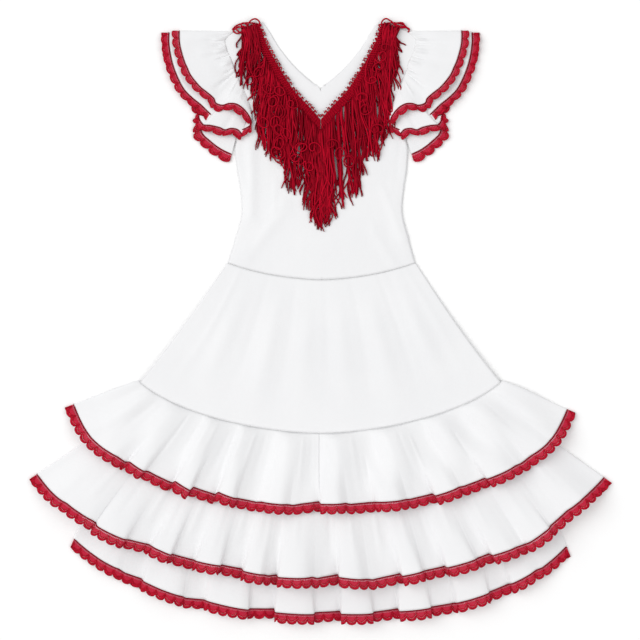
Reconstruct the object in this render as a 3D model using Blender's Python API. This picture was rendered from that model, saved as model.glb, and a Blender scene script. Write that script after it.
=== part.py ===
"""A girl's flamenco dress laid flat on its back, neck towards +Y and hem towards -Y.

Sizes are in millimetres and become metres when each solid is made. Across is measured from the
centre line, depth downwards from the top of the shoulders. Cloth, lace and braid are thin walls
made from the points of their middle surface.
"""
import math
from dataclasses import dataclass

import bpy
from mathutils import Vector

MM = 0.001

# Walls, seams and layers.
CLOTH_WALL = 1.2
LACE_WALL = 1.0
BRAID_WALL = 1.6
SEAM_GAP = 0.3
SEAM_SIDE = 0.2
LAYER = CLOTH_WALL + SEAM_GAP
BED = CLOTH_WALL / 2.0

# Lace.
LACE_WIDTH = 15.0
SCALLOP_PITCH = 14.8
SCALLOP_DEPTH = 5.0
SCALLOP_SHOULDERS = (0.25, 0.75)

# Folds of the frills.
FOLD_FOOT = 4.0
FOLD_SHOULDER_SHARE = 0.85
WIDEST_COLUMN = 30.0
SIDE_SHARE = 0.07
BACK_SHORTER = 5.0

# Fringe.
STRANDS_A_SIDE = 50
BRAID_WIDTH = 14.0
STRAND_WIDTH = 2.4
STRAND_HEIGHT = 1.3
STRAND_NECK_WIDTH = 1.5
STRAND_NECK_LENGTH = 9.0
STRAND_LAYER = 1.9
STRAND_SPREAD = 120.0
STRAND_CLEARANCE = 0.45

# Shoulder loops.
LOOP_RADIUS = 1.5
LOOP_SIDES = 5


@dataclass(frozen=True)
class Bow:
    """A seam or hem that is deepest on the centre line and rises to both sides."""

    depth: float
    half_axis: float
    rise: float
    power: float
    lowest_across: float = 0.0

    def at(self, across):
        """Depth of the line at a distance across."""
        share = min(abs(across - self.lowest_across) / self.half_axis, 1.0)
        return self.depth - self.rise * (1.0 - (1.0 - share ** self.power) ** (1.0 / self.power))


WAIST_SEAM = Bow(393.8, 183.0, 57.0, 1.7)
WAIST_HALF = 140.5
FRILL_1_SEAM = Bow(623.6, 288.0, 106.3, 1.75)
FRILL_1_HALF = 270.0
FRILL_2_SEAM = Bow(694.5, 450.0, 296.0, 2.0)
FRILL_2_HALF = 311.0
FRILL_3_SEAM = Bow(762.0, 450.0, 265.0, 2.0)
FRILL_3_HALF = 326.0
SKIRT_HOLLOW = 7.0
LOWER_SKIRT_INSET = 5.0


@dataclass(frozen=True)
class Fold:
    """One raised fold of a frill: its span of the hem, its height, and how much lower its hem hangs.

    Hang is at its two sides and gap at the two sides of the trough after it.
    """

    start: float
    end: float
    height: float
    hang: tuple
    gap: tuple


@dataclass(frozen=True)
class Frill:
    """A frill all round the skirt, folded at the front and flat at the back.

    Each row is its share of the way down and the share of their height the folds have there.
    """

    name: str
    seam: Bow
    seam_half: float
    hem: Bow
    hem_half: float
    seam_height: float
    trough_height: float
    side_height: float
    rows: tuple
    back_columns: int
    back_heights: tuple
    first_gap: tuple
    folds: tuple


def level(count):
    """Middle height of a cloth layer with this many layers under it."""
    return BED + LAYER * count


FRILLS = (
    Frill("frill_1", FRILL_1_SEAM, FRILL_1_HALF, Bow(728.6, 379.5, 205.9, 2.3, 1.5), 371.0,
          level(3), 16.0, 4.0, ((0.0, 0.0), (0.12, 0.55), (0.4, 0.77), (0.7, 0.89), (1.0, 1.0)), 26,
          ((0.0, level(0)), (1.0, level(0))), (0.0, 1.0),
          (Fold(-335, -301, 7, (-0.5, -4.9), (-3.6, -3.6)),
           Fold(-291, -262, 13, (-8.6, -6.4), (-7.8, -3.7)),
           Fold(-222, -192, 16, (-9.7, -3.2), (-7.6, -3.0)),
           Fold(-157, -124, 17, (-9.4, -4.2), (-3.3, -0.5)),
           Fold(-92, -45, 15, (-2.3, -1.2), (0.3, -4.7)),
           Fold(-2, 41, 18, (-2.9, -3.8), (-1.3, -1.7)),
           Fold(80, 130, 19, (-3.0, -2.8), (-1.5, -2.6)),
           Fold(168, 211, 15, (-0.6, -4.7), (-3.3, -3.4)),
           Fold(246, 294, 14, (-2.5, -1.8), (0.4, 0.5)),
           Fold(309, 340, 8, (-1.1, 0.8), (1.0, 0.0)))),
    Frill("frill_2", FRILL_2_SEAM, FRILL_2_HALF, Bow(841.6, 438.0, 200.3, 1.9, 1.5), 423.0,
          level(4), 17.5, 4.0, ((0.0, 0.0), (0.35, 0.19), (0.44, 0.27), (1.0, 1.0)), 16,
          ((0.0, level(1)), (0.35, level(1)), (0.44, level(0)), (1.0, level(0))), (0.0, -5.7),
          (Fold(-386, -342, 7, (-8.8, -10.3), (-8.8, -7.9)),
           Fold(-328, -290, 14, (-6.3, -7.9), (-8.0, -11.5)),
           Fold(-258, -223, 16, (-12.5, -9.7), (-9.5, -8.3)),
           Fold(-190, -149, 18, (-10.0, -11.3), (-10.9, -9.0)),
           Fold(-118, -82, 18, (-8.5, -7.3), (-4.8, -6.0)),
           Fold(-65, -8, 22, (-5.5, -8.3), (-5.7, -9.0)),
           Fold(26, 73, 22, (-7.9, -2.5), (0.1, -2.1)),
           Fold(119, 154, 18, (-0.7, -2.8), (-1.7, -0.7)),
           Fold(185, 232, 16, (-0.2, -1.4), (-0.9, -0.8)),
           Fold(252, 288, 13, (1.2, 2.2), (4.0, 4.5)),
           Fold(306, 342, 12, (4.2, -1.8), (-2.8, -6.0)),
           Fold(367, 400, 7, (-8.6, -8.0), (-6.0, 0.0)))),
    Frill("frill_3", FRILL_3_SEAM, FRILL_3_HALF, Bow(895.5, 412.5, 231.7, 2.35, 6.0), 368.0,
          level(4), 4.0, 3.0, ((0.0, 0.0), (0.5, 0.41), (0.86, 0.82), (1.0, 1.0)), 16,
          ((0.0, level(1)), (0.86, level(1)), (1.0, level(0))), (0.0, -3.9),
          (Fold(-341, -299, 6, (-5.6, -10.1), (-8.6, -11.0)),
           Fold(-269, -204, 14, (-10.4, -8.4), (-5.8, -8.6)),
           Fold(-174, -106, 16, (-9.7, -6.3), (-6.5, -8.0)),
           Fold(-70, -8, 17, (-5.2, -4.5), (-5.4, -6.1)),
           Fold(29, 80, 17, (-4.4, -4.1), (-4.4, -5.5)),
           Fold(116, 166, 16, (-3.6, -3.2), (-3.0, -0.7)),
           Fold(201, 253, 15, (-2.4, -3.7), (-3.8, -3.3)),
           Fold(283, 327, 12, (-3.8, -4.9), (-1.8, -2.0)))),
)

# Bodice edges, row by row: inner across, inner depth, outer across, outer depth, bow of the row.
BODICE_FRONT_ROWS = (
    (89.3, 7.5, 132.8, 22.5, 1.0), (84.8, 19.5, 144.8, 34.5, 1.0), (79.5, 36.0, 141.8, 51.0, 1.0),
    (72.0, 51.0, 134.3, 67.5, 1.0), (63.0, 67.5, 126.8, 88.5, 1.0),
    (53.3, 84.0, 117.8, 106.5, 1.0), (36.8, 109.5, 105.0, 135.0, 1.0),
    (16.5, 130.5, 102.8, 157.5, 1.0), (0.0, 149.3, 127.0, 187.5, 1.2),
    (0.0, 192.0, 127.8, 222.0, 1.3), (0.0, 237.0, 123.0, 253.5, 1.4),
    (0.0, 282.0, 120.0, 292.5, 1.5), (0.0, 334.5, 129.0, 330.0, 1.6),
    (0.0, 0.0, WAIST_HALF, 0.0, 0.0),
)
BODICE_BACK_ROWS = (
    (86.0, 7.5, 132.8, 22.5, 1.0), (75.0, 24.0, 144.8, 34.5, 1.0), (64.5, 42.0, 141.8, 51.0, 1.0),
    (55.5, 54.0, 136.5, 67.5, 1.0), (46.5, 65.3, 133.5, 94.5, 1.0), (36.0, 76.5, 130.5, 121.5, 1.0),
    (26.3, 85.5, 129.0, 142.5, 1.0), (12.0, 97.5, 127.5, 165.0, 1.0),
    (0.0, 106.5, 127.0, 187.5, 1.2), (0.0, 165.0, 127.8, 222.0, 1.3),
    (0.0, 225.0, 123.0, 253.5, 1.4), (0.0, 282.0, 120.0, 292.5, 1.5),
    (0.0, 334.5, 129.0, 330.0, 1.6), (0.0, 0.0, WAIST_HALF, 0.0, 0.0),
)
FRONT_SHARES = (0.0, 0.13, 0.27, 0.41, 0.56, 0.71, 0.86, 1.0)
BACK_SHARES = (0.0, 0.35, 0.7, 1.0)
BODICE_RISE = 2.6
BODICE_RISE_HALF = 100.0

# Soft ridges on the bodice front: across and depth at both ends, half width, height.
BODICE_RIDGES = (
    (-106.0, 190.0, -106.0, 296.0, 13.0, 2.6),
    (-56.0, 284.0, -114.0, 356.0, 15.0, 2.6),
    (97.0, 262.0, 122.0, 330.0, 12.0, 2.2),
    (80.0, 320.0, 108.0, 366.0, 13.0, 2.0),
)

# Soft ridges fanning down the skirt front: place from -1 to 1, half width, height.
SKIRT_RIDGES = ((-0.72, 0.09, 2.6), (-0.4, 0.1, 3.0), (-0.12, 0.1, 2.0), (0.17, 0.1, 2.2),
                (0.46, 0.1, 3.0), (0.76, 0.08, 2.4))
SKIRT_ROWS = (0.0, 0.2, 0.4, 0.6, 0.8, 1.0)
SKIRT_COLUMNS = 26
LOWER_SKIRT_COLUMNS = 16

# Neckline edge the braid follows: across, depth.
NECK_EDGE = ((89.3, 8.5), (84.8, 19.5), (79.5, 36.0), (72.0, 51.0), (63.0, 67.5), (53.3, 84.0),
             (36.8, 109.5), (16.5, 130.5), (0.6, 148.5))
# Lower outline of the fringe: across, depth.
FRINGE_ENDS = ((0.0, 322.0), (9.0, 317.0), (18.0, 292.0), (27.0, 275.0), (48.0, 267.0),
               (51.0, 245.0), (54.0, 222.0), (75.0, 219.0), (85.0, 200.0), (90.0, 170.0),
               (93.0, 140.0), (99.0, 110.0), (118.0, 100.0), (122.0, 64.0))

# Path of a shoulder loop: across, depth, height.
LOOP_PATH = ((132.5, 19.5, 3.3), (126.0, 11.5, 3.2), (115.5, 7.0, 3.8), (105.0, 3.5, 4.0),
             (97.5, 2.0, 4.0), (92.6, 3.2, 3.8), (92.9, 7.4, 3.8))

# Sleeve frills, from the shoulder fold down to the underarm: gather across, gather depth,
# hem across, hem depth, height half way, height at the hem.
SLEEVE_OUTER_FRONT = (
    (133.5, 22.5, 210.8, 21.8, 8.0, 8.0), (141.0, 29.0, 210.8, 31.5, 11.0, 12.0),
    (145.5, 34.5, 210.3, 40.5, 12.0, 14.0), (144.5, 42.0, 208.5, 49.5, 10.5, 13.0),
    (142.5, 51.0, 204.8, 61.5, 6.5, 8.5), (138.8, 58.5, 201.0, 73.5, 8.0, 12.0),
    (135.0, 67.5, 194.3, 90.0, 12.0, 17.0), (132.0, 78.0, 183.0, 104.3, 12.5, 18.0),
    (129.8, 84.0, 169.5, 114.8, 10.5, 15.0), (128.3, 87.0, 156.8, 127.5, 6.5, 8.5),
    (125.3, 93.0, 150.0, 135.0, 8.5, 11.5), (121.5, 100.5, 139.5, 132.0, 10.5, 14.0),
    (116.3, 111.0, 127.5, 129.8, 11.0, 15.0), (110.3, 124.5, 116.3, 135.0, 10.0, 13.0),
    (105.8, 135.0, 108.8, 144.0, 8.0, 10.0), (103.5, 150.0, 104.6, 157.5, 6.5, 7.5),
)
SLEEVE_OUTER_BACK = (
    (135.0, 24.0, 210.8, 21.8, BED, BED), (147.2, 35.5, 209.0, 45.0, BED, BED),
    (144.5, 50.0, 204.0, 68.0, BED, BED), (138.8, 70.0, 192.0, 96.0, BED, BED),
    (135.5, 95.0, 174.0, 122.0, BED, BED), (131.5, 135.0, 154.0, 152.0, BED, BED),
    (129.0, 170.0, 139.0, 178.0, BED, BED), (128.6, 184.0, 132.0, 187.5, BED, BED),
)
SLEEVE_INNER_FRONT = (
    (133.5, 24.6, 226.5, 24.8, level(2), level(2)), (145.0, 36.0, 225.8, 42.0, level(2), 5.6),
    (142.5, 51.0, 224.3, 58.5, level(2), 4.2), (136.0, 66.0, 220.5, 76.5, level(2), 6.0),
    (132.0, 78.0, 213.8, 94.5, level(2), 4.6), (129.0, 85.5, 203.3, 111.0, level(2), 6.0),
    (126.0, 91.5, 191.3, 123.0, level(2), 5.0), (123.0, 97.5, 179.3, 130.5, level(2), 5.8),
    (120.8, 102.0, 172.5, 139.5, level(2), 5.0), (118.5, 106.5, 172.0, 152.0, level(2), 6.2),
    (116.3, 111.0, 169.0, 162.0, level(2), 5.4), (114.0, 115.5, 156.8, 166.5, level(2), 7.2),
    (111.8, 120.0, 145.5, 171.0, level(2), 5.2), (109.5, 126.0, 135.8, 169.5, level(2), 7.2),
    (107.3, 131.0, 123.8, 171.0, level(2), 5.0), (104.5, 146.0, 117.8, 177.0, level(2), 6.0),
)
SLEEVE_INNER_BACK = tuple(row + (level(1), level(1)) for row in (
    (137.2, 25.5, 226.5, 24.8), (147.4, 36.0, 225.5, 42.0), (144.5, 50.0, 223.5, 60.0),
    (138.5, 72.0, 208.0, 92.0), (135.5, 95.0, 186.0, 120.0), (132.5, 125.0, 174.0, 146.0),
    (130.5, 148.0, 180.5, 169.5), (129.5, 164.0, 164.3, 186.0), (129.2, 176.0, 149.3, 196.5),
    (129.2, 186.0, 133.5, 204.0),
))
SLEEVE_ROWS = (0.0, 0.22, 0.5, 1.0)
OUTER_FOLD_BULGE = 4.2
INNER_FOLD_BULGE = 1.0

# How far the dress leans across as it lies: depth, shift.
SWAY = ((0.0, 0.0), (150.0, 0.0), (205.0, 1.6), (240.0, 2.4), (340.0, 2.2), (440.0, 0.5),
        (500.0, 0.0))

# Finishes: red, green, blue, roughness.
WHITE_CLOTH = ("white_cloth", (0.86, 0.87, 0.9), 0.75)
CRIMSON_LACE = ("crimson_lace", (0.52, 0.01, 0.04), 0.7)
CRIMSON_CORD = ("crimson_cord", (0.3, 0.004, 0.012), 0.6)


def blend(first, second, share):
    """A value between two others."""
    return first + (second - first) * share


def ease(share):
    """Smooth step from 0 to 1."""
    share = max(0.0, min(1.0, share))
    return share * share * (3.0 - 2.0 * share)


def between(table, place):
    """Value at a place along a table of (place, value) rows."""
    if place <= table[0][0]:
        return table[0][1]
    for (low, start), (high, end) in zip(table, table[1:]):
        if place <= high:
            return blend(start, end, (place - low) / (high - low))
    return table[-1][1]


def ridge_height(across, depth, ridge):
    """Height a soft straight ridge adds at a place."""
    start = Vector((ridge[0], ridge[1]))
    along = Vector((ridge[2], ridge[3])) - start
    to_place = Vector((across, depth)) - start
    share = max(0.0, min(1.0, to_place.dot(along) / along.length_squared))
    away = (to_place - along * share).length / ridge[4]
    return ridge[5] * math.exp(-2.0 * away * away)


def bodice_height(across, depth):
    """Middle height of the bodice front."""
    rise = BODICE_RISE * max(0.0, 1.0 - (across / BODICE_RISE_HALF) ** 2) * ease((depth - 5.0) / 60.0)
    return level(1) + rise + sum(ridge_height(across, depth, ridge) for ridge in BODICE_RIDGES)


# ------------------------------------------------------------------ making solids


def make_material(finish):
    """The material for a finish, made once."""
    name, colour, roughness = finish
    material = bpy.data.materials.get(name)
    if material is None:
        material = bpy.data.materials.new(name)
        material.use_nodes = True
        shader = material.node_tree.nodes["Principled BSDF"]
        shader.inputs["Base Color"].default_value = (*colour, 1.0)
        shader.inputs["Roughness"].default_value = roughness
        shader.inputs["Metallic"].default_value = 0.0
    return material


def make_object(name, points, faces, finish):
    """An object from points in millimetres: x across, y up the dress, z off the table."""
    mesh = bpy.data.meshes.new(name)
    mesh.from_pydata([tuple(Vector(point) * MM) for point in points], [], faces)
    mesh.materials.append(make_material(finish))
    mesh.update()
    made = bpy.data.objects.new(name, mesh)
    bpy.context.scene.collection.objects.link(made)
    return made


def face_normal(points, face):
    """Unit normal of a face of any number of corners."""
    total = Vector((0.0, 0.0, 0.0))
    for first, second in zip(face, face[1:] + face[:1]):
        total += points[first].cross(points[second])
    return total.normalized()


def wall_offsets(points, faces, wall):
    """Half-wall offset at each point, longer where the cloth bends."""
    sums = [Vector((0.0, 0.0, 0.0)) for _ in points]
    counts = [0] * len(points)
    for face in faces:
        normal = face_normal(points, face)
        for corner in face:
            sums[corner] += normal
            counts[corner] += 1
    offsets = []
    for total, count in zip(sums, counts):
        evenness = max(0.8, total.length / max(count, 1))
        offsets.append(total.normalized() * (wall / 2.0 / evenness))
    return offsets


def border_edges(faces):
    """Directed edges that only one face uses."""
    used = {(a, b) for face in faces for a, b in zip(face, face[1:] + face[:1])}
    return [(a, b) for a, b in sorted(used) if (b, a) not in used]


def walled(points, faces, wall):
    """Points and faces of a closed wall about a middle surface."""
    offsets = wall_offsets(points, faces, wall)
    count = len(points)
    outside = [point + offset for point, offset in zip(points, offsets)]
    inside = [point - offset for point, offset in zip(points, offsets)]
    shell = [tuple(face) for face in faces]
    shell += [tuple(corner + count for corner in reversed(face)) for face in faces]
    rims = [(a, a + count, b + count, b) for a, b in border_edges(faces)]
    return outside + inside, shell, rims


def make_cloth(name, points, faces, wall, finish):
    """A closed cloth wall as an object."""
    all_points, shell, rims = walled(points, faces, wall)
    return make_object(name, all_points, shell + rims, finish)


def place(across, depth, height):
    """A point of the dress from across, depth and height."""
    return Vector((across + between(SWAY, depth), -depth, height))


def sheet_faces(columns, rows, closed=False):
    """Quads of a sheet stored column by column, facing up when columns run left to right."""
    faces = []
    for column in range(columns if closed else columns - 1):
        after = (column + 1) % columns
        for row in range(rows - 1):
            faces.append((column * rows + row, column * rows + row + 1,
                          after * rows + row + 1, after * rows + row))
    return faces


# ------------------------------------------------------------------ bodice and skirt


def bodice_row(row, share):
    """Across and depth of a place along one bodice row."""
    inner_across, inner_depth, outer_across, outer_depth, bow = row
    across = blend(inner_across, outer_across, share)
    if bow == 0.0:
        return across, WAIST_SEAM.at(across) - SEAM_SIDE
    return across, blend(inner_depth, outer_depth, share ** bow)


def bodice_columns(rows, shares):
    """Both halves of the bodice as rows of (across, depth), left to right, centre kept once."""
    table = []
    for row in rows:
        half = [bodice_row(row, share) for share in shares]
        left = [(-across, depth) for across, depth in reversed(half)]
        table.append((left, half))
    return table


def make_bodice(name, rows, shares, height):
    """One bodice panel, open at the V neck and in one piece below it."""
    points = []
    keys = {}
    faces = []

    def corner(side, row_number, column, spot):
        key = ("middle", row_number) if abs(spot[0]) < 0.01 else (side, row_number, column)
        if key not in keys:
            keys[key] = len(points)
            points.append(place(spot[0], spot[1], height(*spot)))
        return keys[key]

    table = bodice_columns(rows, shares)
    for side in (0, 1):
        for row_number in range(len(rows) - 1):
            upper = table[row_number][side]
            lower = table[row_number + 1][side]
            for column in range(len(shares) - 1):
                face = (corner(side, row_number, column, upper[column]),
                        corner(side, row_number + 1, column, lower[column]),
                        corner(side, row_number + 1, column + 1, lower[column + 1]),
                        corner(side, row_number, column + 1, upper[column + 1]))
                faces.append(face)
    return make_cloth(name, points, faces, CLOTH_WALL, WHITE_CLOTH)


def make_panel(name, top, top_half, bottom, bottom_half, columns, rows, height, hollow=0.0):
    """A flared panel between two bowed seams; height is a function of place and share down."""
    points = []
    for column in range(columns):
        spot = blend(-1.0, 1.0, column / (columns - 1))
        start = (top_half * spot, top.at(top_half * spot) + SEAM_SIDE)
        end = (bottom_half * spot, bottom.at(bottom_half * spot) - SEAM_SIDE)
        for share in rows:
            narrowing = 1.0 - 4.0 * hollow * share * (1.0 - share) / (top_half + bottom_half)
            across = blend(start[0], end[0], share) * narrowing
            points.append(place(across, blend(start[1], end[1], share), height(spot, share)))
    faces = sheet_faces(columns, len(rows))
    return make_cloth(name, points, faces, CLOTH_WALL, WHITE_CLOTH)


def skirt_front_height(spot, share):
    """Middle height of the skirt front, with soft ridges fanning to the frill seam."""
    ridges = sum(height * math.exp(-2.0 * ((spot - at) / half) ** 2)
                 for at, half, height in SKIRT_RIDGES)
    inner = bodice_height(spot * WAIST_HALF, WAIST_SEAM.at(spot * WAIST_HALF))
    return blend(inner, level(3), ease(share)) + ridges * math.sin(math.pi * share) ** 2


def make_skirt():
    """The four skirt panels."""
    make_panel("skirt_front", WAIST_SEAM, WAIST_HALF, FRILL_1_SEAM, FRILL_1_HALF,
               SKIRT_COLUMNS, SKIRT_ROWS, skirt_front_height, SKIRT_HOLLOW)
    make_panel("skirt_back", WAIST_SEAM, WAIST_HALF, FRILL_1_SEAM, FRILL_1_HALF,
               SKIRT_COLUMNS, (0.0, 0.5, 1.0), lambda spot, share: BED, SKIRT_HOLLOW)
    lower_rows = (0.0, 0.42, 1.0)
    for name, count in (("lower_skirt_front", 2), ("lower_skirt_back", 1)):
        make_panel(name, FRILL_1_SEAM, FRILL_1_HALF - LOWER_SKIRT_INSET, FRILL_3_SEAM,
                   FRILL_3_HALF - LOWER_SKIRT_INSET, LOWER_SKIRT_COLUMNS, lower_rows,
                   lambda spot, share, count=count: level(count + min(1.0, share / 0.42)))


# ------------------------------------------------------------------ frills


def front_columns(frill):
    """Places and fold heights across the front of a frill, folds and flats in turn."""
    marks = [(-frill.hem_half, 0.0)]
    for fold in frill.folds:
        shoulder = fold.height * FOLD_SHOULDER_SHARE
        marks += [(fold.start - FOLD_FOOT, 0.0), (fold.start + FOLD_FOOT, shoulder),
                  ((fold.start + fold.end) / 2.0, fold.height),
                  (fold.end - FOLD_FOOT, shoulder), (fold.end + FOLD_FOOT, 0.0)]
    marks.append((frill.hem_half, 0.0))
    filled = [marks[0]]
    for across, height in marks[1:]:
        last_across, last_height = filled[-1]
        pieces = max(1, math.ceil((across - last_across) / WIDEST_COLUMN))
        for piece in range(1, pieces + 1):
            share = piece / pieces
            filled.append((blend(last_across, across, share), blend(last_height, height, share)))
    return [(across / frill.hem_half, height) for across, height in filled]


def hem_drops(frill):
    """Across of each side of a frill's folds and how much lower the hem hangs there."""
    drops = [(-frill.hem_half, frill.first_gap[0])]
    last = frill.first_gap[1]
    for fold in frill.folds:
        drops += [(fold.start - FOLD_FOOT, last), (fold.start + FOLD_FOOT, fold.hang[0]),
                  (fold.end - FOLD_FOOT, fold.hang[1]), (fold.end + FOLD_FOOT, fold.gap[0])]
        last = fold.gap[1]
    return drops + [(frill.hem_half, last)]


def frill_flat(frill, spot, share, short):
    """Across and depth of a place on a frill, its hem drawn in by a length."""
    seam_across = frill.seam_half * spot
    hem = frill.hem_half * spot
    start = Vector((seam_across, frill.seam.at(seam_across) + SEAM_SIDE))
    end = Vector((hem, frill.hem.at(hem) + between(hem_drops(frill), hem)))
    length = (end - start).length
    return start.lerp(end, share * (1.0 - short / length))


def front_column(frill, spot, fold_height):
    """Points down one column of the frill's front."""
    inward = ease((1.0 - abs(spot)) / SIDE_SHARE)
    column = []
    for share, rise in frill.rows:
        flat = frill_flat(frill, spot, share, 0.0)
        side = blend(frill.seam_height, frill.side_height, share)
        middle = blend(frill.seam_height, frill.trough_height, share)
        height = blend(side, middle, inward) + fold_height * rise
        column.append(place(flat.x, flat.y, height))
    return column


def back_column(frill, spot):
    """Points down one column of the frill's back."""
    inward = ease((1.0 - abs(spot)) / SIDE_SHARE)
    column = []
    for share, _ in frill.rows:
        flat = frill_flat(frill, spot, share, BACK_SHORTER * inward)
        column.append(place(flat.x, flat.y, between(frill.back_heights, share)))
    return column


def fold_column(upper, lower):
    """Points of the side fold between a front edge column and a back edge column."""
    along = upper[-1] - upper[0]
    outward = Vector((along.y, -along.x, 0.0)).normalized()
    if outward.x * upper[0].x < 0.0:
        outward = -outward
    column = []
    for high, low in zip(upper, lower):
        bulge = 0.55 * (high.z - low.z)
        column.append((high + low) / 2.0 + outward * bulge)
    return column


def frill_ring(frill):
    """Columns all round a frill and the count of front columns."""
    front = [front_column(frill, spot, height) for spot, height in front_columns(frill)]
    last = frill.back_columns - 1
    back = [back_column(frill, blend(1.0, -1.0, number / last)) for number in range(last + 1)]
    ring = front + [fold_column(front[-1], back[0])] + back + [fold_column(front[0], back[-1])]
    return ring, len(front)


def level_way(way):
    """Direction of a lace band, never dipping below the hem it is sewn to."""
    return Vector((way.x, way.y, max(0.0, way.z))).normalized()


def lace_ring(columns, plain_span, closed=True):
    """Points and faces of a lace band past a hem, scalloped but for a span of hidden columns."""
    hems = [column[-1] for column in columns]
    ways = [level_way(column[-1] - column[-2]) for column in columns]
    points = []
    faces = []

    def add(hem, way, width):
        points.append(hem + way * (SEAM_GAP + width))
        return len(points) - 1

    inner = add(hems[0], ways[0], 0.0)
    outer = add(hems[0], ways[0], LACE_WIDTH - SCALLOP_DEPTH)
    first = (inner, outer)
    for number in range(1, len(columns)):
        span = (hems[number] - hems[number - 1]).length
        scalloped = number < plain_span[0] or number > plain_span[1]
        pieces = max(1, round(span / SCALLOP_PITCH)) if scalloped else 1
        for piece in range(pieces):
            def spot(share):
                whole = (piece + share) / pieces
                return (hems[number - 1].lerp(hems[number], whole),
                        ways[number - 1].lerp(ways[number], whole).normalized())
            shoulders = []
            if scalloped:
                shoulders = [add(*spot(share), LACE_WIDTH) for share in SCALLOP_SHOULDERS]
            next_inner = add(*spot(1.0), 0.0)
            next_outer = add(*spot(1.0), LACE_WIDTH - SCALLOP_DEPTH)
            faces.append((inner, outer, next_outer, next_inner))
            if scalloped:
                faces.append((outer, *shoulders, next_outer))
            inner, outer = next_inner, next_outer
    if closed:
        faces.append((inner, outer, first[1], first[0]))
    return points, faces


def make_frill(frill):
    """A frill and the lace along its hem."""
    ring, front_count = frill_ring(frill)
    points = [point for column in ring for point in column]
    faces = sheet_faces(len(ring), len(frill.rows), closed=True)
    make_cloth(frill.name, points, faces, CLOTH_WALL, WHITE_CLOTH)
    points, faces = lace_ring(ring, (front_count, len(ring)))
    make_cloth(frill.name + "_lace", points, faces, LACE_WALL, CRIMSON_LACE)


# ------------------------------------------------------------------ sleeves


def sleeve_column(row):
    """Points down one column of a sleeve frill."""
    gather_across, gather_depth, across, depth, middle_height, hem_height = row
    start_height = min(middle_height, level(3))
    heights = ((0.0, start_height), (0.5, middle_height), (1.0, hem_height))
    return [place(blend(gather_across, across, share), blend(gather_depth, depth, share),
                  between(heights, share)) for share in SLEEVE_ROWS]


def sleeve_columns(front, back, bulge):
    """Columns from the front underarm over the shoulder fold to the back underarm."""
    upper = [sleeve_column(row) for row in front]
    lower = [sleeve_column(row) for row in back]
    fold = [(high + low) / 2.0 + Vector((0.0, bulge, 0.0)) for high, low in zip(upper[0], lower[0])]
    return upper[::-1], fold, lower


def mirrored(points, faces):
    """The same cloth on the other side of the centre line."""
    flipped = [Vector((2.0 * between(SWAY, -point.y) - point.x, point.y, point.z))
               for point in points]
    return flipped, [tuple(reversed(face)) for face in faces]


def make_pair(name, points, faces, wall, finish):
    """A cloth on the wearer's left (+X) and its mirror on the right."""
    make_cloth(name + "_left", points, faces, wall, finish)
    points, faces = mirrored(points, faces)
    make_cloth(name + "_right", points, faces, wall, finish)


def make_sleeve(name, front, back, bulge, shown_back):
    """A sleeve frill and its lace, on both sides; some back columns show below the front."""
    upper, fold, lower = sleeve_columns(front, back, bulge)
    columns = upper + [fold] + lower
    points = [point for column in columns for point in column]
    faces = sheet_faces(len(columns), len(SLEEVE_ROWS))
    make_pair(name, points, faces, CLOTH_WALL, WHITE_CLOTH)
    plain_span = (len(upper), len(columns) - shown_back)
    points, faces = lace_ring(columns, plain_span, closed=False)
    make_pair(name + "_lace", points, faces, LACE_WALL, CRIMSON_LACE)


# ------------------------------------------------------------------ fringe and loops


def line_point(line, share):
    """Point at a share of the length of a polyline of (across, depth) rows."""
    spots = [Vector(row) for row in line]
    lengths = [(b - a).length for a, b in zip(spots, spots[1:])]
    left = share * sum(lengths)
    for start, end, length in zip(spots, spots[1:], lengths):
        if left <= length:
            return start.lerp(end, left / length)
        left -= length
    return spots[-1]


def braid_rows():
    """Inner and outer edge of the braid, from the tip of the V up to the shoulder."""
    neck = [Vector(row) for row in NECK_EDGE[::-1]]
    border = []
    for number, spot in enumerate(neck):
        along = neck[min(number + 1, len(neck) - 1)] - neck[max(number - 1, 0)]
        border.append(spot + Vector((-along.y, along.x)).normalized() * BRAID_WIDTH)
    slope = (border[1].y - border[0].y) / (border[1].x - border[0].x)
    border[0] = Vector((neck[0].x, border[0].y - slope * (border[0].x - neck[0].x)))
    shares = [number / STRANDS_A_SIDE for number in range(STRANDS_A_SIDE + 1)]
    return [line_point(neck, share) for share in shares], [line_point(border, share) for share in shares]


def strand_path(root, number):
    """Centre points of one strand below its root: across, depth, height."""
    share = number / (STRANDS_A_SIDE - 1)
    end_across = 2.2 + STRAND_SPREAD * share ** 0.94
    ragged = 5.0 * math.sin(2.3 * number) + 4.0 * math.sin(0.9 * number + 1.0)
    end_depth = between(FRINGE_ENDS, end_across) - 4.0 + ragged
    rise = STRAND_LAYER * (number % 2)
    path = []
    for step in (0.0, 0.5, 1.0):
        start_depth = root.y + STRAND_NECK_LENGTH
        depth = blend(start_depth, max(end_depth, start_depth + 12.0), step)
        across = blend(max(root.x, 2.2), end_across, step)
        bed = bodice_height(across, depth) + BED + STRAND_CLEARANCE + STRAND_HEIGHT / 2.0
        path.append((across, depth, bed + rise))
    return path


def strand_ring(centre, width, height):
    """Four corners of a strand, in the order of the wall face it grows from."""
    across, depth, middle = centre
    low, high = middle - height / 2.0, middle + height / 2.0
    left, right = across - width / 2.0, across + width / 2.0
    return [place(left, depth, high), place(left, depth, low),
            place(right, depth, low), place(right, depth, high)]


def add_strand(points, faces, root_face, root, number):
    """Grow a strand out of one face of the braid's wall."""
    ring = list(root_face)
    widths = (STRAND_NECK_WIDTH, STRAND_WIDTH, STRAND_WIDTH)
    for centre, width in zip(strand_path(root, number), widths):
        start = len(points)
        points.extend(strand_ring(centre, width, STRAND_HEIGHT))
        new = list(range(start, start + 4))
        for side in range(4):
            after = (side + 1) % 4
            faces.append((ring[side], ring[after], new[after], new[side]))
        ring = new
    faces.append(tuple(ring))


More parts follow.
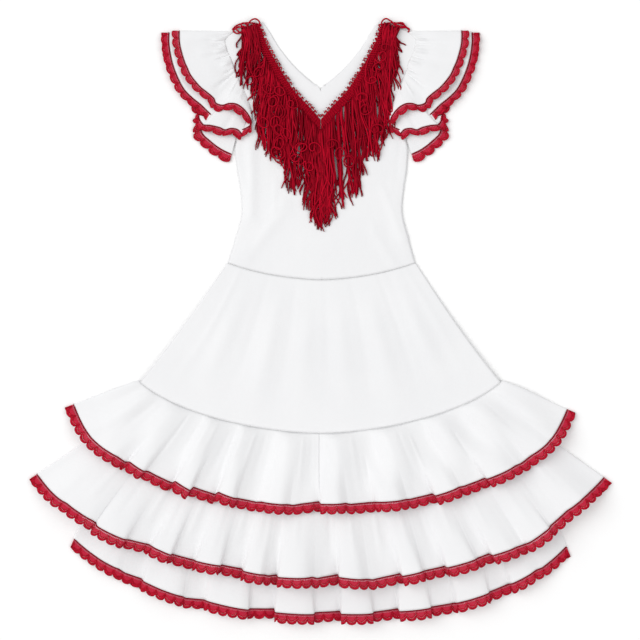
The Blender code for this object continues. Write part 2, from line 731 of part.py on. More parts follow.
def fringe_solid():
    """Points and faces of the braid on the +X side with its strands."""
    inner, outer = braid_rows()
    lift = BED + SEAM_GAP + BRAID_WALL / 2.0
    points = []
    for near, far in zip(inner, outer):
        middle = near.lerp(far, 0.5)
        for spot in (near, middle, far):
            points.append(place(spot.x, spot.y, bodice_height(spot.x, spot.y) + lift))
    count = len(points)
    faces = []
    for number in range(len(inner) - 1):
        for step in (0, 1):
            corner = number * 3 + step
            faces.append((corner, corner + 1, corner + 4, corner + 3))
    points, shell, rims = walled(points, faces, BRAID_WALL)
    solid = list(shell)
    for rim in rims:
        start, end = rim[0], rim[3]
        if start % 3 == 2 and end % 3 == 2 and start < count:
            number = min(start, end) // 3
            root = outer[number].lerp(outer[number + 1], 0.5)
            add_strand(points, solid, rim, root, number)
        else:
            solid.append(rim)
    return points, solid


def make_fringe():
    """The fringe on both sides of the V neck."""
    points, faces = fringe_solid()
    make_object("fringe_left", points, faces, CRIMSON_CORD)
    points, faces = mirrored(points, faces)
    make_object("fringe_right", points, faces, CRIMSON_CORD)


def loop_solid():
    """Points and faces of the cord loop over the +X shoulder."""
    path = [place(*row) for row in LOOP_PATH]
    points = []
    for number, centre in enumerate(path):
        ahead = path[min(number + 1, len(path) - 1)]
        behind = path[max(number - 1, 0)]
        along = (ahead - behind).normalized()
        side = along.cross(Vector((0.0, 0.0, 1.0))).normalized()
        over = side.cross(along)
        for corner in range(LOOP_SIDES):
            turn = 2.0 * math.pi * corner / LOOP_SIDES
            points.append(centre + (side * math.cos(turn) + over * math.sin(turn)) * LOOP_RADIUS)
    faces = []
    for number in range(len(path) - 1):
        for corner in range(LOOP_SIDES):
            here, there = number * LOOP_SIDES, (number + 1) * LOOP_SIDES
            after = (corner + 1) % LOOP_SIDES
            faces.append((here + corner, there + corner, there + after, here + after))
    faces.append(tuple(range(LOOP_SIDES)))
    faces.append(tuple(range((len(path) - 1) * LOOP_SIDES, len(path) * LOOP_SIDES))[::-1])
    return points, faces


def make_loops():
    """The cord loops over both shoulders."""
    points, faces = loop_solid()
    make_object("shoulder_loop_left", points, faces, CRIMSON_CORD)
    points, faces = mirrored(points, faces)
    make_object("shoulder_loop_right", points, faces, CRIMSON_CORD)


# ------------------------------------------------------------------ the whole dress


def clear_scene():
    """Remove every object there is."""
    for old in list(bpy.data.objects):
        bpy.data.objects.remove(old, do_unlink=True)


def centre_dress():
    """Put the middle of the underside's bounding box on the origin."""
    meshes = [made.data for made in bpy.data.objects if made.type == "MESH"]
    spots = [vertex.co for mesh in meshes for vertex in mesh.vertices]
    shift = Vector((-(min(p.x for p in spots) + max(p.x for p in spots)) / 2.0,
                    -(min(p.y for p in spots) + max(p.y for p in spots)) / 2.0,
                    -min(p.z for p in spots)))
    for mesh in meshes:
        for vertex in mesh.vertices:
            vertex.co += shift
        mesh.update()


def main():
    """Build the dress."""
    clear_scene()
    make_bodice("bodice_front", BODICE_FRONT_ROWS, FRONT_SHARES, bodice_height)
    make_bodice("bodice_back", BODICE_BACK_ROWS, BACK_SHARES, lambda across, depth: BED)
    make_skirt()
    for frill in FRILLS:
        make_frill(frill)
    make_sleeve("sleeve_outer", SLEEVE_OUTER_FRONT, SLEEVE_OUTER_BACK, OUTER_FOLD_BULGE, 0)
    make_sleeve("sleeve_inner", SLEEVE_INNER_FRONT, SLEEVE_INNER_BACK, INNER_FOLD_BULGE, 6)
    make_fringe()
    make_loops()
    centre_dress()


main()
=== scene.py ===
"""A girl's flamenco dress laid flat: white crepe, crimson lace on each frill, a cord fringe at the V neck.

Sizes are in millimetres. Across is measured from the centre line (the wearer's left is +X) and depth down
from the top of the shoulders; height is above the table. Shapes become metres when a mesh is made.
"""
import logging
import math
from dataclasses import dataclass, field
from enum import Enum
from typing import Callable, Sequence

import bmesh
import bpy
import numpy as np
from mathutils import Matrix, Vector

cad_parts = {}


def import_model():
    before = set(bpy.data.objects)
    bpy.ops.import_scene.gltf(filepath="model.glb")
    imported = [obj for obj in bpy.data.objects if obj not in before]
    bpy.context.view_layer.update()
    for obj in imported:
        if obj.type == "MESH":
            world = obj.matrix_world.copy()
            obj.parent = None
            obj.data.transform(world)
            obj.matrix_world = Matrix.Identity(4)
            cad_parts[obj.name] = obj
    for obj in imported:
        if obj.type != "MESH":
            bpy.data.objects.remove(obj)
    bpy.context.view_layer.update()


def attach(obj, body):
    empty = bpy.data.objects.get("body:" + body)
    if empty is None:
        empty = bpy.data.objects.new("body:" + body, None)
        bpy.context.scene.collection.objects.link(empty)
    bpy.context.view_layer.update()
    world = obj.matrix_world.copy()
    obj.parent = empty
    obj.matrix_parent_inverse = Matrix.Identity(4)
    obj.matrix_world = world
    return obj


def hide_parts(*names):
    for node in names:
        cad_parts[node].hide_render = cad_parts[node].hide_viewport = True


LOG = logging.getLogger("dress")
MM = 0.001
TURN = 2.0 * math.pi

Array = np.ndarray
Values = Array | float
Random = np.random.Generator
Object = bpy.types.Object
Material = bpy.types.Material
Socket = bpy.types.NodeSocket

# Where the shoulders' top on the centre line lies in the shared frame.
ORIGIN_ACROSS = 0.067
ORIGIN_DOWN = 455.223
ORIGIN_LIFT = 0.003

# Walls, seams and layers of the cloth.
LAYER = 1.5
BED = 0.6
CLOTH_THICKNESS = 0.7
LACE_THICKNESS = 0.45
BRAID_THICKNESS = 1.0
SEAM_GAP = 0.11
SEAM_ROLL = 0.15
SEAM_ROLL_REACH = 2.0

# How far the dress leans across as it lies: depth, shift.
SWAY = np.array((
    (0.0, 0.0), (150.0, 0.0), (205.0, 1.6), (240.0, 2.4), (340.0, 2.2), (440.0, 0.5), (500.0, 0.0),
))


class Held(Enum):
    """How a cloth is held as it lies."""

    LAID = "laid"
    GATHERED = "gathered"


class Side(Enum):
    """The two sides of the dress, as worn, with the sign of their across."""

    LEFT = 1
    RIGHT = -1

    @property
    def word(self) -> str:
        """The side's name in lower case."""
        return self.name.lower()


# ---- shaping


def level(count: float) -> float:
    """Middle height of a cloth layer with this many layers under it."""
    return BED + LAYER * count


def ease(share: Values) -> Values:
    """Smooth step from 0 to 1."""
    share = np.clip(share, 0.0, 1.0)
    return share * share * (3.0 - 2.0 * share)


def blend(first: Values, second: Values, share: Values) -> Values:
    """A value between two others."""
    return first + (second - first) * share


def hump(away: Values) -> Values:
    """A bell shape: 1 in the middle, 0.14 at a distance of one half width."""
    return np.exp(-2.0 * away ** 2)


def seam_roll(away: Array) -> Array:
    """How far the cloth dips where it turns into a seam that is this far away."""
    return SEAM_ROLL * np.exp(-(away / SEAM_ROLL_REACH) ** 2)


def lookup(rows: Sequence[Sequence[float]], at: Values) -> Values:
    """Value at a place along a table of (place, value) rows."""
    table = np.asarray(rows)
    return np.interp(at, table[:, 0], table[:, 1])


def spread(first: Array, second: Array) -> Array:
    """Every pair of a column value and a row value, as a grid."""
    return np.stack(np.broadcast_arrays(first[:, None], second[None, :]), axis=-1)


def place(across: Array, depth: Array, height: Array) -> Array:
    """Put places on the dress into the shared frame.

    Args:
        across: Distance from the centre line.
        depth: Distance down from the shoulders.
        height: Height above the table.

    Returns:
        The points, in millimetres.
    """
    across, depth, height = np.broadcast_arrays(across, depth, height)
    lean = np.interp(depth, SWAY[:, 0], SWAY[:, 1])
    return np.stack((across + lean + ORIGIN_ACROSS, ORIGIN_DOWN - depth, height + ORIGIN_LIFT), axis=-1)


def catmull(nodes: Array, at: Array) -> Array:
    """Smooth curve through nodes.

    Args:
        nodes: One row per node, any number of values.
        at: Places along the curve, counted in nodes.

    Returns:
        One row of values for each place.
    """
    nodes = np.asarray(nodes, dtype=float)
    last = len(nodes) - 1
    index = np.clip(np.floor(at).astype(int), 0, last - 1)
    shape = (-1,) + (1,) * (nodes.ndim - 1)
    share = (at - index).reshape(shape)
    before, here = nodes[np.maximum(index - 1, 0)], nodes[index]
    there, after = nodes[index + 1], nodes[np.minimum(index + 2, last)]
    return 0.5 * (2.0 * here + (there - before) * share
                  + (2.0 * before - 5.0 * here + 4.0 * there - after) * share ** 2
                  + (3.0 * (here - there) + after - before) * share ** 3)


def unit(vectors: Array) -> Array:
    """Vectors scaled to length one."""
    return vectors / np.maximum(np.linalg.norm(vectors, axis=-1, keepdims=True), 1e-9)


def walk(points: Array) -> Array:
    """Length along a line of points at each of them."""
    steps = np.linalg.norm(np.diff(points, axis=0), axis=1)
    return np.concatenate(((0.0,), np.cumsum(steps)))


def along(points: Array, lengths: Array, at: Array) -> Array:
    """Points, or other rows, read at distances along a line."""
    return np.stack([np.interp(at, lengths, points[:, axis]) for axis in range(points.shape[1])], axis=-1)


def wander(at: Array, random: Random, slowest: float, fastest: float) -> Array:
    """A smooth uneven line about zero, between -1 and 1.

    Args:
        at: Places along the line.
        random: Source of its waves.
        slowest: Fewest waves in one unit of place.
        fastest: Most waves in one unit of place.

    Returns:
        The line's value at each place.
    """
    total = np.zeros_like(at, dtype=float)
    for weight in (0.55, 0.3, 0.15):
        waves = random.uniform(slowest, fastest) * at + random.uniform(0.0, 1.0)
        total += weight * np.sin(TURN * waves)
    return total


def ridge(across: Array, depth: Array, row: Sequence[float]) -> Array:
    """Height that a soft straight ridge or trough adds.

    Args:
        across: Across of the places.
        depth: Depth of the places.
        row: Across and depth of both ends, half width and height.

    Returns:
        The added height at each place.
    """
    start = np.array(row[:2])
    way = np.array(row[2:4]) - start
    spot = np.stack((across, depth), axis=-1) - start
    share = np.clip((spot @ way) / (way @ way), 0.0, 1.0)
    away = np.linalg.norm(spot - share[..., None] * way, axis=-1) / row[4]
    return row[5] * hump(away)


# ---- meshes


def grid_faces(columns: int, rows: int, closed: bool = False) -> list[tuple[int, int, int, int]]:
    """Quads of a sheet stored column by column, facing up when columns run left to right.

    Args:
        columns: How many columns of points there are.
        rows: How many points each column has.
        closed: Whether the last column joins the first.

    Returns:
        Four corner numbers for each quad.
    """
    faces = []
    for column in range(columns if closed else columns - 1):
        after = (column + 1) % columns
        for row in range(rows - 1):
            here, there = column * rows + row, after * rows + row
            faces.append((here, here + 1, there + 1, there))
    return faces


def add_object(name: str, points: Array, faces: Sequence[Sequence[int]], material: Material,
               uv: Array | None = None, tone: Array | None = None) -> Object:
    """Make a smooth-shaded object.

    Args:
        name: The object's name.
        points: Points in millimetres, in the shared frame.
        faces: Corner numbers of each face.
        material: Its finish.
        uv: Place of each point on the cloth, if the finish needs it.
        tone: A value from 0 to 1 for each point, if the finish needs it.

    Returns:
        The object, linked to the scene.
    """
    mesh = bpy.data.meshes.new(name)
    mesh.from_pydata((points.reshape(-1, 3) * MM).tolist(), [], faces)
    mesh.materials.append(material)
    mesh.polygons.foreach_set("use_smooth", [True] * len(mesh.polygons))
    if uv is not None:
        corners = np.empty(len(mesh.loops), dtype=int)
        mesh.loops.foreach_get("vertex_index", corners)
        layer = mesh.uv_layers.new(name="UVMap")
        layer.data.foreach_set("uv", uv.reshape(-1, 2)[corners].astype(np.float32).ravel())
    if tone is not None:
        attribute = mesh.attributes.new("tone", "FLOAT", "POINT")
        attribute.data.foreach_set("value", tone.astype(np.float32).ravel())
    mesh.update()
    made = bpy.data.objects.new(name, mesh)
    bpy.context.scene.collection.objects.link(made)
    return made


def weld(made: Object, distance: float) -> None:
    """Join points of an object that lie on each other.

    Args:
        made: The object.
        distance: The most that joined points may lie apart, in metres.
    """
    shape = bmesh.new()
    shape.from_mesh(made.data)
    bmesh.ops.remove_doubles(shape, verts=shape.verts, dist=distance)
    shape.to_mesh(made.data)
    shape.free()


def thicken(made: Object, thickness: float) -> None:
    """Give a sheet its thickness, half to each side.

    Args:
        made: The sheet.
        thickness: Its whole thickness.
    """
    solidify = made.modifiers.new("Thickness", "SOLIDIFY")
    solidify.thickness = thickness * MM
    solidify.offset = 0.0
    solidify.use_even_offset = False


class Tubes:
    """Many round cords collected into one mesh."""

    TIP = 0.55
    STEEP = 0.15

    def __init__(self, sides: int) -> None:
        """Start with no cords.

        Args:
            sides: How many faces go round each cord.
        """
        self.sides = sides
        self.points: list[Array] = []
        self.faces: list[tuple[int, ...]] = []
        self.uvs: list[Array] = []
        self.tones: list[Array] = []
        self.count = 0

    def add(self, path: Array, radius: float, tone: float) -> None:
        """Add one cord, a little thinner at its two ends.

        Args:
            path: Its centre line in the shared frame, in millimetres.
            radius: Half its thickness.
            tone: Its shade, from 0 to 1.
        """
        count = len(path)
        tangent = unit(np.gradient(path, axis=0))
        side = np.cross(tangent, np.array((0.0, 0.0, 1.0)))
        steep = np.linalg.norm(side, axis=1) < self.STEEP
        side[steep] = np.cross(tangent[steep], np.array((0.3, 1.0, 0.0)))
        side = unit(side)
        over = np.cross(side, tangent)
        radii = np.full(count, radius)
        radii[0] *= self.TIP
        radii[-1] *= self.TIP
        corners = np.arange(self.sides)
        turn = TURN * corners / self.sides
        ring = (side[:, None, :] * np.cos(turn)[None, :, None]
                + over[:, None, :] * np.sin(turn)[None, :, None])
        points = path[:, None, :] + ring * radii[:, None, None]
        self.points.append(points.reshape(-1, 3))
        self.uvs.append(spread(walk(path), corners / self.sides).reshape(-1, 2))
        self.tones.append(np.full(count * self.sides, tone))
        for number in range(count - 1):
            here = self.count + number * self.sides
            there = here + self.sides
            for corner in range(self.sides):
                after = (corner + 1) % self.sides
                self.faces.append((here + corner, here + after, there + after, there + corner))
        first, last = self.count, self.count + (count - 1) * self.sides
        self.faces.append(tuple(first + corner for corner in range(self.sides))[::-1])
        self.faces.append(tuple(last + corner for corner in range(self.sides)))
        self.count += count * self.sides

    def build(self, name: str, material: Material) -> Object:
        """The cords as one object."""
        return add_object(name, np.concatenate(self.points), self.faces, material,
                          np.concatenate(self.uvs), np.concatenate(self.tones))


# ---- finishes


class Board:
    """A material's nodes, laid out by short calls."""

    def __init__(self, name: str) -> None:
        """Start a material with one Principled shader.

        Args:
            name: The material's name.
        """
        self.material = bpy.data.materials.new(name)
        self.material.use_nodes = True
        self.tree = self.material.node_tree
        self.shader = self.tree.nodes["Principled BSDF"]

    def node(self, kind: str, **settings: object) -> bpy.types.Node:
        """Add a node.

        Args:
            kind: Blender's name for this kind of node.
            **settings: Its properties.

        Returns:
            The node.
        """
        made = self.tree.nodes.new(kind)
        for key, value in settings.items():
            setattr(made, key, value)
        return made

    def join(self, source: object, target: Socket) -> None:
        """Link a socket, or set a plain value, on an input.

        Args:
            source: The socket or the value.
            target: The input.
        """
        if isinstance(source, Socket):
            self.tree.links.new(source, target)
        else:
            target.default_value = source

    def math(self, operation: str, *values: object) -> Socket:
        """Work out a value with a Math node.

        Args:
            operation: Blender's name for what is done.
            *values: Sockets or numbers.

        Returns:
            The result.
        """
        made = self.node("ShaderNodeMath", operation=operation)
        for number, value in enumerate(values):
            self.join(value, made.inputs[number])
        return made.outputs[0]

    def times(self, first: object, second: object) -> Socket:
        """Product of two values."""
        return self.math("MULTIPLY", first, second)

    def plus(self, first: object, second: object) -> Socket:
        """Sum of two values."""
        return self.math("ADD", first, second)

    def minus(self, first: object, second: object) -> Socket:
        """What is left of the first value after the second."""
        return self.math("SUBTRACT", first, second)

    def sine(self, value: object) -> Socket:
        """Sine of an angle."""
        return self.math("SINE", value)

    def size(self, value: object) -> Socket:
        """A value without its sign."""
        return self.math("ABSOLUTE", value)

    def length(self, side: Socket, high: Socket) -> Socket:
        """Length of a way that goes so far sideways and so far up."""
        return self.math("SQRT", self.plus(self.times(side, side), self.times(high, high)))

    def step(self, value: object, low: float, high: float) -> Socket:
        """Smooth 0 to 1 as a value goes from low to high, or 1 to 0 if high is the lower.

        Args:
            value: The value.
            low: Where the result is 0.
            high: Where the result is 1.

        Returns:
            The result.
        """
        made = self.node("ShaderNodeMapRange", interpolation_type="SMOOTHSTEP")
        self.join(value, made.inputs["Value"])
        made.inputs["From Min"].default_value = min(low, high)
        made.inputs["From Max"].default_value = max(low, high)
        made.inputs["To Min"].default_value = 0.0 if low < high else 1.0
        made.inputs["To Max"].default_value = 1.0 if low < high else 0.0
        return made.outputs["Result"]

    def place(self) -> Socket:
        """Place on the object, in metres."""
        return self.node("ShaderNodeTexCoord").outputs["Object"]

    def cloth_place(self) -> tuple[Socket, Socket]:
        """Read the place on the piece from its own map.

        Returns:
            Place along the piece, and across it.
        """
        split = self.node("ShaderNodeSeparateXYZ")
        self.tree.links.new(self.node("ShaderNodeUVMap", uv_map="UVMap").outputs[0], split.inputs[0])
        return split.outputs[0], split.outputs[1]

    def noise(self, scale: float, detail: float = 2.0, rough: float = 0.5) -> Socket:
        """Lay noise over the object.

        Args:
            scale: Repeats to the metre.
            detail: How many finer layers it has.
            rough: How strong the finer layers are.

        Returns:
            The noise, from 0 to 1.
        """
        made = self.node("ShaderNodeTexNoise")
        self.join(self.place(), made.inputs["Vector"])
        made.inputs["Scale"].default_value = scale
        made.inputs["Detail"].default_value = detail
        made.inputs["Roughness"].default_value = rough
        return made.outputs[0]

    def colour(self, share: object, first: object, second: object) -> Socket:
        """Mix two colours.

        Args:
            share: How much of the second one, from 0 to 1.
            first: Three parts, or a socket.
            second: Three parts, or a socket.

        Returns:
            The colour.
        """
        made = self.node("ShaderNodeMix", data_type="RGBA")
        self.join(share, made.inputs[0])
        for part, number in ((first, 6), (second, 7)):
            self.join(part if isinstance(part, Socket) else (*part, 1.0), made.inputs[number])
        return made.outputs[2]

    def bump(self, *layers: tuple[object, float]) -> None:
        """Give the shader relief.

        Args:
            *layers: A height and its full size in millimetres, one layer over the other.
        """
        normal = None
        for height, size in layers:
            made = self.node("ShaderNodeBump")
            made.inputs["Distance"].default_value = size * MM
            made.inputs["Strength"].default_value = 1.0
            self.join(height, made.inputs["Height"])
            if normal is not None:
                self.tree.links.new(normal, made.inputs["Normal"])
            normal = made.outputs[0]
        self.tree.links.new(normal, self.shader.inputs["Normal"])

    def paint(self, colour: Socket) -> None:
        """Give the shader its colour."""
        self.join(colour, self.shader.inputs["Base Color"])

    def set(self, **values: float) -> None:
        """Constants on the shader's own sockets, underscores for spaces."""
        for key, value in values.items():
            self.shader.inputs[key.replace("_", " ")].default_value = value


@dataclass(frozen=True)
class CrepeFinish:
    """Heavy matt white crepe with a fine crossed grain."""

    light: tuple[float, float, float] = (0.845, 0.846, 0.855)
    shade: tuple[float, float, float] = (0.825, 0.827, 0.838)
    shade_scale: float = 9.0
    thread_scale: float = 190.0
    thread_wave: float = 1.6
    grain_scale: float = 1500.0
    softness_scale: float = 26.0
    roughness: float = 0.62

    def material(self) -> Material:
        """Make the finish.

        Returns:
            The material: a faint mottle, crossed threads, a fine grain and soft unevenness.
        """
        board = Board("white_cloth_crepe")
        mottle = board.step(board.noise(self.shade_scale, 3.0), 0.35, 0.7)
        board.paint(board.colour(mottle, self.light, self.shade))
        grain = board.noise(self.grain_scale, 3.0, 0.7)
        threads = []
        for direction in ("X", "Y"):
            wave = board.node("ShaderNodeTexWave", wave_type="BANDS", bands_direction=direction)
            board.join(board.place(), wave.inputs["Vector"])
            wave.inputs["Scale"].default_value = self.thread_scale
            wave.inputs["Distortion"].default_value = self.thread_wave
            wave.inputs["Detail"].default_value = 2.0
            wave.inputs["Detail Scale"].default_value = 1.5
            threads.append(wave.outputs[1])
        weave = board.times(*threads)
        board.bump((board.noise(self.softness_scale, 4.0, 0.55), 0.9), (weave, 0.05), (grain, 0.06))
        board.set(Roughness=self.roughness, Sheen_Weight=0.12, Sheen_Roughness=0.45, Specular_IOR_Level=0.3)
        return board.material


@dataclass(frozen=True)
class LaceFinish:
    """Crimson scalloped lace: a row of eyelets, then an open net inside the close border of each scallop.

    Pitch is a scallop's width and reach the band's depth. The eyelets are so many to a scallop, on a line
    this share down. The net fans out from its root, a share down, to its size. Edges are where a hole or a
    ring starts and where it is full.
    """

    thread: tuple[float, float, float] = (0.55, 0.004, 0.026)
    deep: tuple[float, float, float] = (0.27, 0.002, 0.011)
    net: tuple[float, float, float] = (0.6, 0.02, 0.055)
    bound: tuple[float, float, float] = (0.8, 0.2, 0.27)
    pitch: float = 14.8
    reach: float = 15.0
    eyelets: float = 6.0
    eyelet_line: float = 0.17
    eyelet_edge: tuple[float, float] = (0.75, 0.55)
    bound_edge: tuple[float, float] = (1.3, 0.8)
    fan_root: float = 0.22
    fan_size: float = 5.8
    fan_soft: float = 0.3
    ribs: float = 5.5
    ring_pitch: float = 1.9
    net_edge: tuple[float, float] = (0.2, 0.45)
    net_open: float = 0.25
    dots: float = 24.0
    dot_ring: float = 2.0
    dot_open: float = 0.8
    cord_pitch: float = 0.85
    stitches: float = 14.0

    def material(self) -> Material:
        """Make the finish: u counts scallops along the band, v goes from its head to its edge.

        Returns:
            The material, see-through in its holes.
        """
        board = Board("crimson_lace_band")
        run, rise = board.cloth_place()
        side = board.times(board.minus(board.math("FRACT", run), 0.5), self.pitch)
        high = board.times(board.minus(rise, self.fan_root), self.reach)
        angle = board.math("ARCTAN2", side, high)
        radius = board.length(side, high)
        inside = board.times(board.step(high, 0.3, 0.8),
                             board.step(radius, self.fan_size + self.fan_soft, self.fan_size - self.fan_soft))
        net = board.times(self.net_holes(board, angle, radius), inside)
        eyelet = board.step(self.eyelet_distance(board, run, rise), *self.eyelet_edge)
        dots = self.border_dots(board, angle, radius)
        holes = board.math("MAXIMUM", net, board.math("MAXIMUM", eyelet, dots))
        board.join(board.minus(1.0, holes), board.shader.inputs["Alpha"])
        shade = board.step(board.noise(420.0, 3.0), 0.3, 0.75)
        close = board.colour(inside, board.colour(shade, self.thread, self.deep), self.net)
        bound = board.step(self.eyelet_distance(board, run, rise), *self.bound_edge)
        board.paint(board.colour(bound, close, self.bound))
        cords = board.sine(board.times(radius, TURN / self.cord_pitch))
        stitches = board.sine(board.times(run, TURN * self.stitches))
        board.bump((cords, 0.07), (stitches, 0.05), (board.noise(1800.0), 0.06))
        board.set(Roughness=0.7, Specular_IOR_Level=0.12)
        return board.material

    def eyelet_distance(self, board: Board, run: Socket, rise: Socket) -> Socket:
        """Find how far the small round holes under the head of the band are.

        Args:
            board: The material's nodes.
            run: Place along the band, in scallops.
            rise: Place from the head to the edge, from 0 to 1.

        Returns:
            Distance from the middle of the nearest hole.
        """
        spot = board.minus(board.math("FRACT", board.times(run, self.eyelets)), 0.5)
        side = board.times(spot, self.pitch / self.eyelets)
        return board.length(side, board.times(board.minus(rise, self.eyelet_line), self.reach))

    def net_holes(self, board: Board, angle: Socket, radius: Socket) -> Socket:
        """Find the openings between the ribs and rings of the net.

        Args:
            board: The material's nodes.
            angle: Direction from the root of the fan.
            radius: Distance from the root of the fan.

        Returns:
            How open the net is, from 0 to 1.
        """
        ribs = board.step(board.size(board.sine(board.times(angle, self.ribs))), *self.net_edge)
        rings = board.size(board.sine(board.times(radius, math.pi / self.ring_pitch)))
        return board.times(board.times(ribs, board.step(rings, *self.net_edge)), self.net_open)

    def border_dots(self, board: Board, angle: Socket, radius: Socket) -> Socket:
        """Find the pinholes that follow the scallop's border.

        Args:
            board: The material's nodes.
            angle: Direction from the root of the fan.
            radius: Distance from the root of the fan.

        Returns:
            How open they are, from 0 to 1.
        """
        ring = board.step(board.size(board.minus(radius, self.fan_size + self.dot_ring)), 0.5, 0.3)
        dots = board.step(board.sine(board.times(angle, self.dots)), 0.1, 0.6)
        return board.times(board.times(ring, dots), self.dot_open)


@dataclass(frozen=True)
class CordFinish:
    """Twisted crimson cord, each strand of its own shade, with a painted highlight on top and painted shade
    on its sides.
    """

    light: tuple[float, float, float] = (0.56, 0.002, 0.022)
    dark: tuple[float, float, float] = (0.06, 0.0, 0.002)
    twist: float = 2.6
    strands: float = 2.0
    roughness: float = 0.6

    def material(self) -> Material:
        """Make the finish: u is the length along a cord and v the way round it.

        Returns:
            The material, with painted shade down the cord's sides and in its grooves and a painted highlight
            along its top.
        """
        board = Board("crimson_cord_twist")
        run, turn = board.cloth_place()
        tone = board.node("ShaderNodeAttribute", attribute_name="tone").outputs["Fac"]
        # The twist's grooves give both the bump and painted shade in the colour.
        groove = board.sine(board.times(TURN, board.plus(board.math("DIVIDE", run, self.twist),
                                                         board.times(turn, self.strands))))
        # Painted light: each cord's top is painted lighter and its sides darker, as if lit from above.
        painted_top_light = board.step(board.sine(board.times(turn, TURN)), -0.2, 1.0)
        shade = board.plus(board.times(tone, 0.35), board.times(groove, 0.06))
        shade = board.times(board.plus(shade, 0.6), board.plus(board.times(painted_top_light, 0.75), 0.25))
        shade = board.times(shade, board.plus(board.times(tone, 0.6), 0.45))
        board.paint(board.colour(shade, self.dark, self.light))
        board.bump((groove, 0.16), (board.noise(1600.0), 0.15))
        board.set(Roughness=self.roughness, Specular_IOR_Level=0.06)
        return board.material


@dataclass(frozen=True)
class KnitFinish:
    """The close knitted head of the fringe, with painted shade between its stitches."""

    light: tuple[float, float, float] = (0.5, 0.004, 0.02)
    dark: tuple[float, float, float] = (0.2, 0.001, 0.007)
    rib_pitch: float = 3.0
    stitch_rate: float = 1.25
    stitch_slant: float = 1.6

    def material(self) -> Material:
        """Make the finish: u and v are millimetres along and across the band.

        Returns:
            The material: raised stitches painted lighter, painted shade in the low places between them.
        """
        board = Board("crimson_cord_knit")
        run, rise = board.cloth_place()
        slant = board.size(board.sine(board.times(rise, math.pi / self.rib_pitch)))
        stitch = board.size(board.sine(board.plus(board.times(run, self.stitch_rate),
                                                  board.times(slant, self.stitch_slant))))
        relief = board.times(stitch, board.step(slant, 0.05, 0.5))
        # Painted shade: where the relief is low, between stitches and rows, the colour is darker.
        board.paint(board.colour(relief, self.dark, self.light))
        board.bump((relief, 0.7), (board.noise(1500.0), 0.15))
        board.set(Roughness=0.7, Specular_IOR_Level=0.06)
        return board.material


@dataclass(frozen=True)
class TableFinish:
    """A plain pale table top."""

    light: tuple[float, float, float] = (0.97, 0.97, 0.97)
    mottle: float = 0.985

    def material(self) -> Material:
        """Make the finish.

        Returns:
            The material.
        """
        board = Board("table_paint")
        darker = tuple(self.mottle * part for part in self.light)
        board.paint(board.colour(board.noise(3.0), self.light, darker))
        board.bump((board.noise(300.0, 3.0), 0.05))
        board.set(Roughness=0.9, Specular_IOR_Level=0.1)
        return board.material


@dataclass(frozen=True)
class Finishes:
    """Every finish on the dress, made once."""

    crepe: Material = field(default_factory=lambda: CrepeFinish().material())
    lace: Material = field(default_factory=lambda: LaceFinish().material())
    cord: Material = field(default_factory=lambda: CordFinish().material())
    knit: Material = field(default_factory=lambda: KnitFinish().material())


def seat(made: Object, slot: str, *nodes: str) -> Object:
    """Ride a piece on the dress.

    Args:
        made: The piece.
        slot: The material slot of its finish; not used.
        *nodes: The solids that it stands for.

    Returns:
        The piece.
    """
    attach(made, "root")
    if nodes:
        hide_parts(*nodes)
    LOG.info("%s: %d faces", made.name, len(made.data.polygons))
    return made


# ---- lace


@dataclass(frozen=True)
class LaceEdge:
    """A scalloped lace band sewn along a hem, with a fine cord over the join.

    Widths gives the band's width along the hem as a share of its full width. Uneven is how much the reach
    wanders, curl how far the edge lifts, and ripple how much that wanders.
    """

    name: str
    node: str
    closed: bool
    seed: int
    width: float = 15.4
    scallop: float = 5.0
    pitch: float = 14.8
    steps: int = 12
    rows: int = 8
    widths: tuple = ((0.0, 1.0), (1.0, 1.0))
    seam: float = 0.2
    uneven: float = 0.35
    curl: float = 0.7
    ripple: float = 0.5
    lowest: float = 0.3
    cord_radius: float = 0.95
    cord_inset: float = 0.6
    cord_lift: float = 0.45
    cord_tone: float = 0.16

    def stations(self, hem: Array, before: Array) -> tuple[Array, Array, Array]:
        """Even places along the hem.

        Args:
            hem: Points of the hem.
            before: Points of the cloth just above the hem.

        Returns:
            Points of the hem, the way the lace hangs, and the place in scallops.
        """
        way = hem - before
        way[:, 2] = np.maximum(way[:, 2], 0.0)
        way = unit(way)
        if self.closed:
            hem, way = np.vstack((hem, hem[:1])), np.vstack((way, way[:1]))
        lengths = walk(hem)
        scallops = max(2, round(lengths[-1] / self.pitch))
        at = np.linspace(0.0, 1.0, scallops * self.steps + 1)
        reached = at * lengths[-1]
        return along(hem, lengths, reached), unit(along(way, lengths, reached)), at * scallops

    def build(self, hem: Array, before: Array, finishes: Finishes) -> list[Object]:
        """Sew the band and its cord along a hem.

        Args:
            hem: Points of the hem.
            before: Points of the cloth just above the hem.
            finishes: The dress's finishes.

        Returns:
            The band and the cord.
        """
        spots, ways, run = self.stations(hem, before)
        random = np.random.default_rng(self.seed)
        lobe = np.abs(np.sin(math.pi * run)) ** 0.5
        reach = self.width - self.scallop * (1.0 - lobe) + self.uneven * wander(run / 7.0, random, 0.5, 2.0)
        reach = reach * lookup(self.widths, run / run[-1])
        ripple = self.ripple * wander(run / 9.0, random, 0.6, 2.4)
        share = np.linspace(0.0, 1.0, self.rows)
        lift = share[None, :] ** 2 * (self.curl + ripple)[:, None]
        down = self.seam + reach[:, None] * share[None, :]
        points = spots[:, None, :] + ways[:, None, :] * down[..., None]
        points[..., 2] = np.maximum(points[..., 2] + lift, ORIGIN_LIFT + self.lowest)
        faces = grid_faces(len(spots), self.rows)
        band = add_object(self.name, points, faces, finishes.lace, spread(run, share))
        thicken(band, LACE_THICKNESS)
        seat(band, "crimson_lace", self.node)
        line = spots + ways * self.cord_inset
        line[:, 2] += self.cord_lift
        tubes = Tubes(sides=6)
        tubes.add(line[::2], self.cord_radius, self.cord_tone)
        cord = seat(tubes.build(self.name + "_piping", finishes.cord), "crimson_cord")
        return [band, cord]


# ---- seams


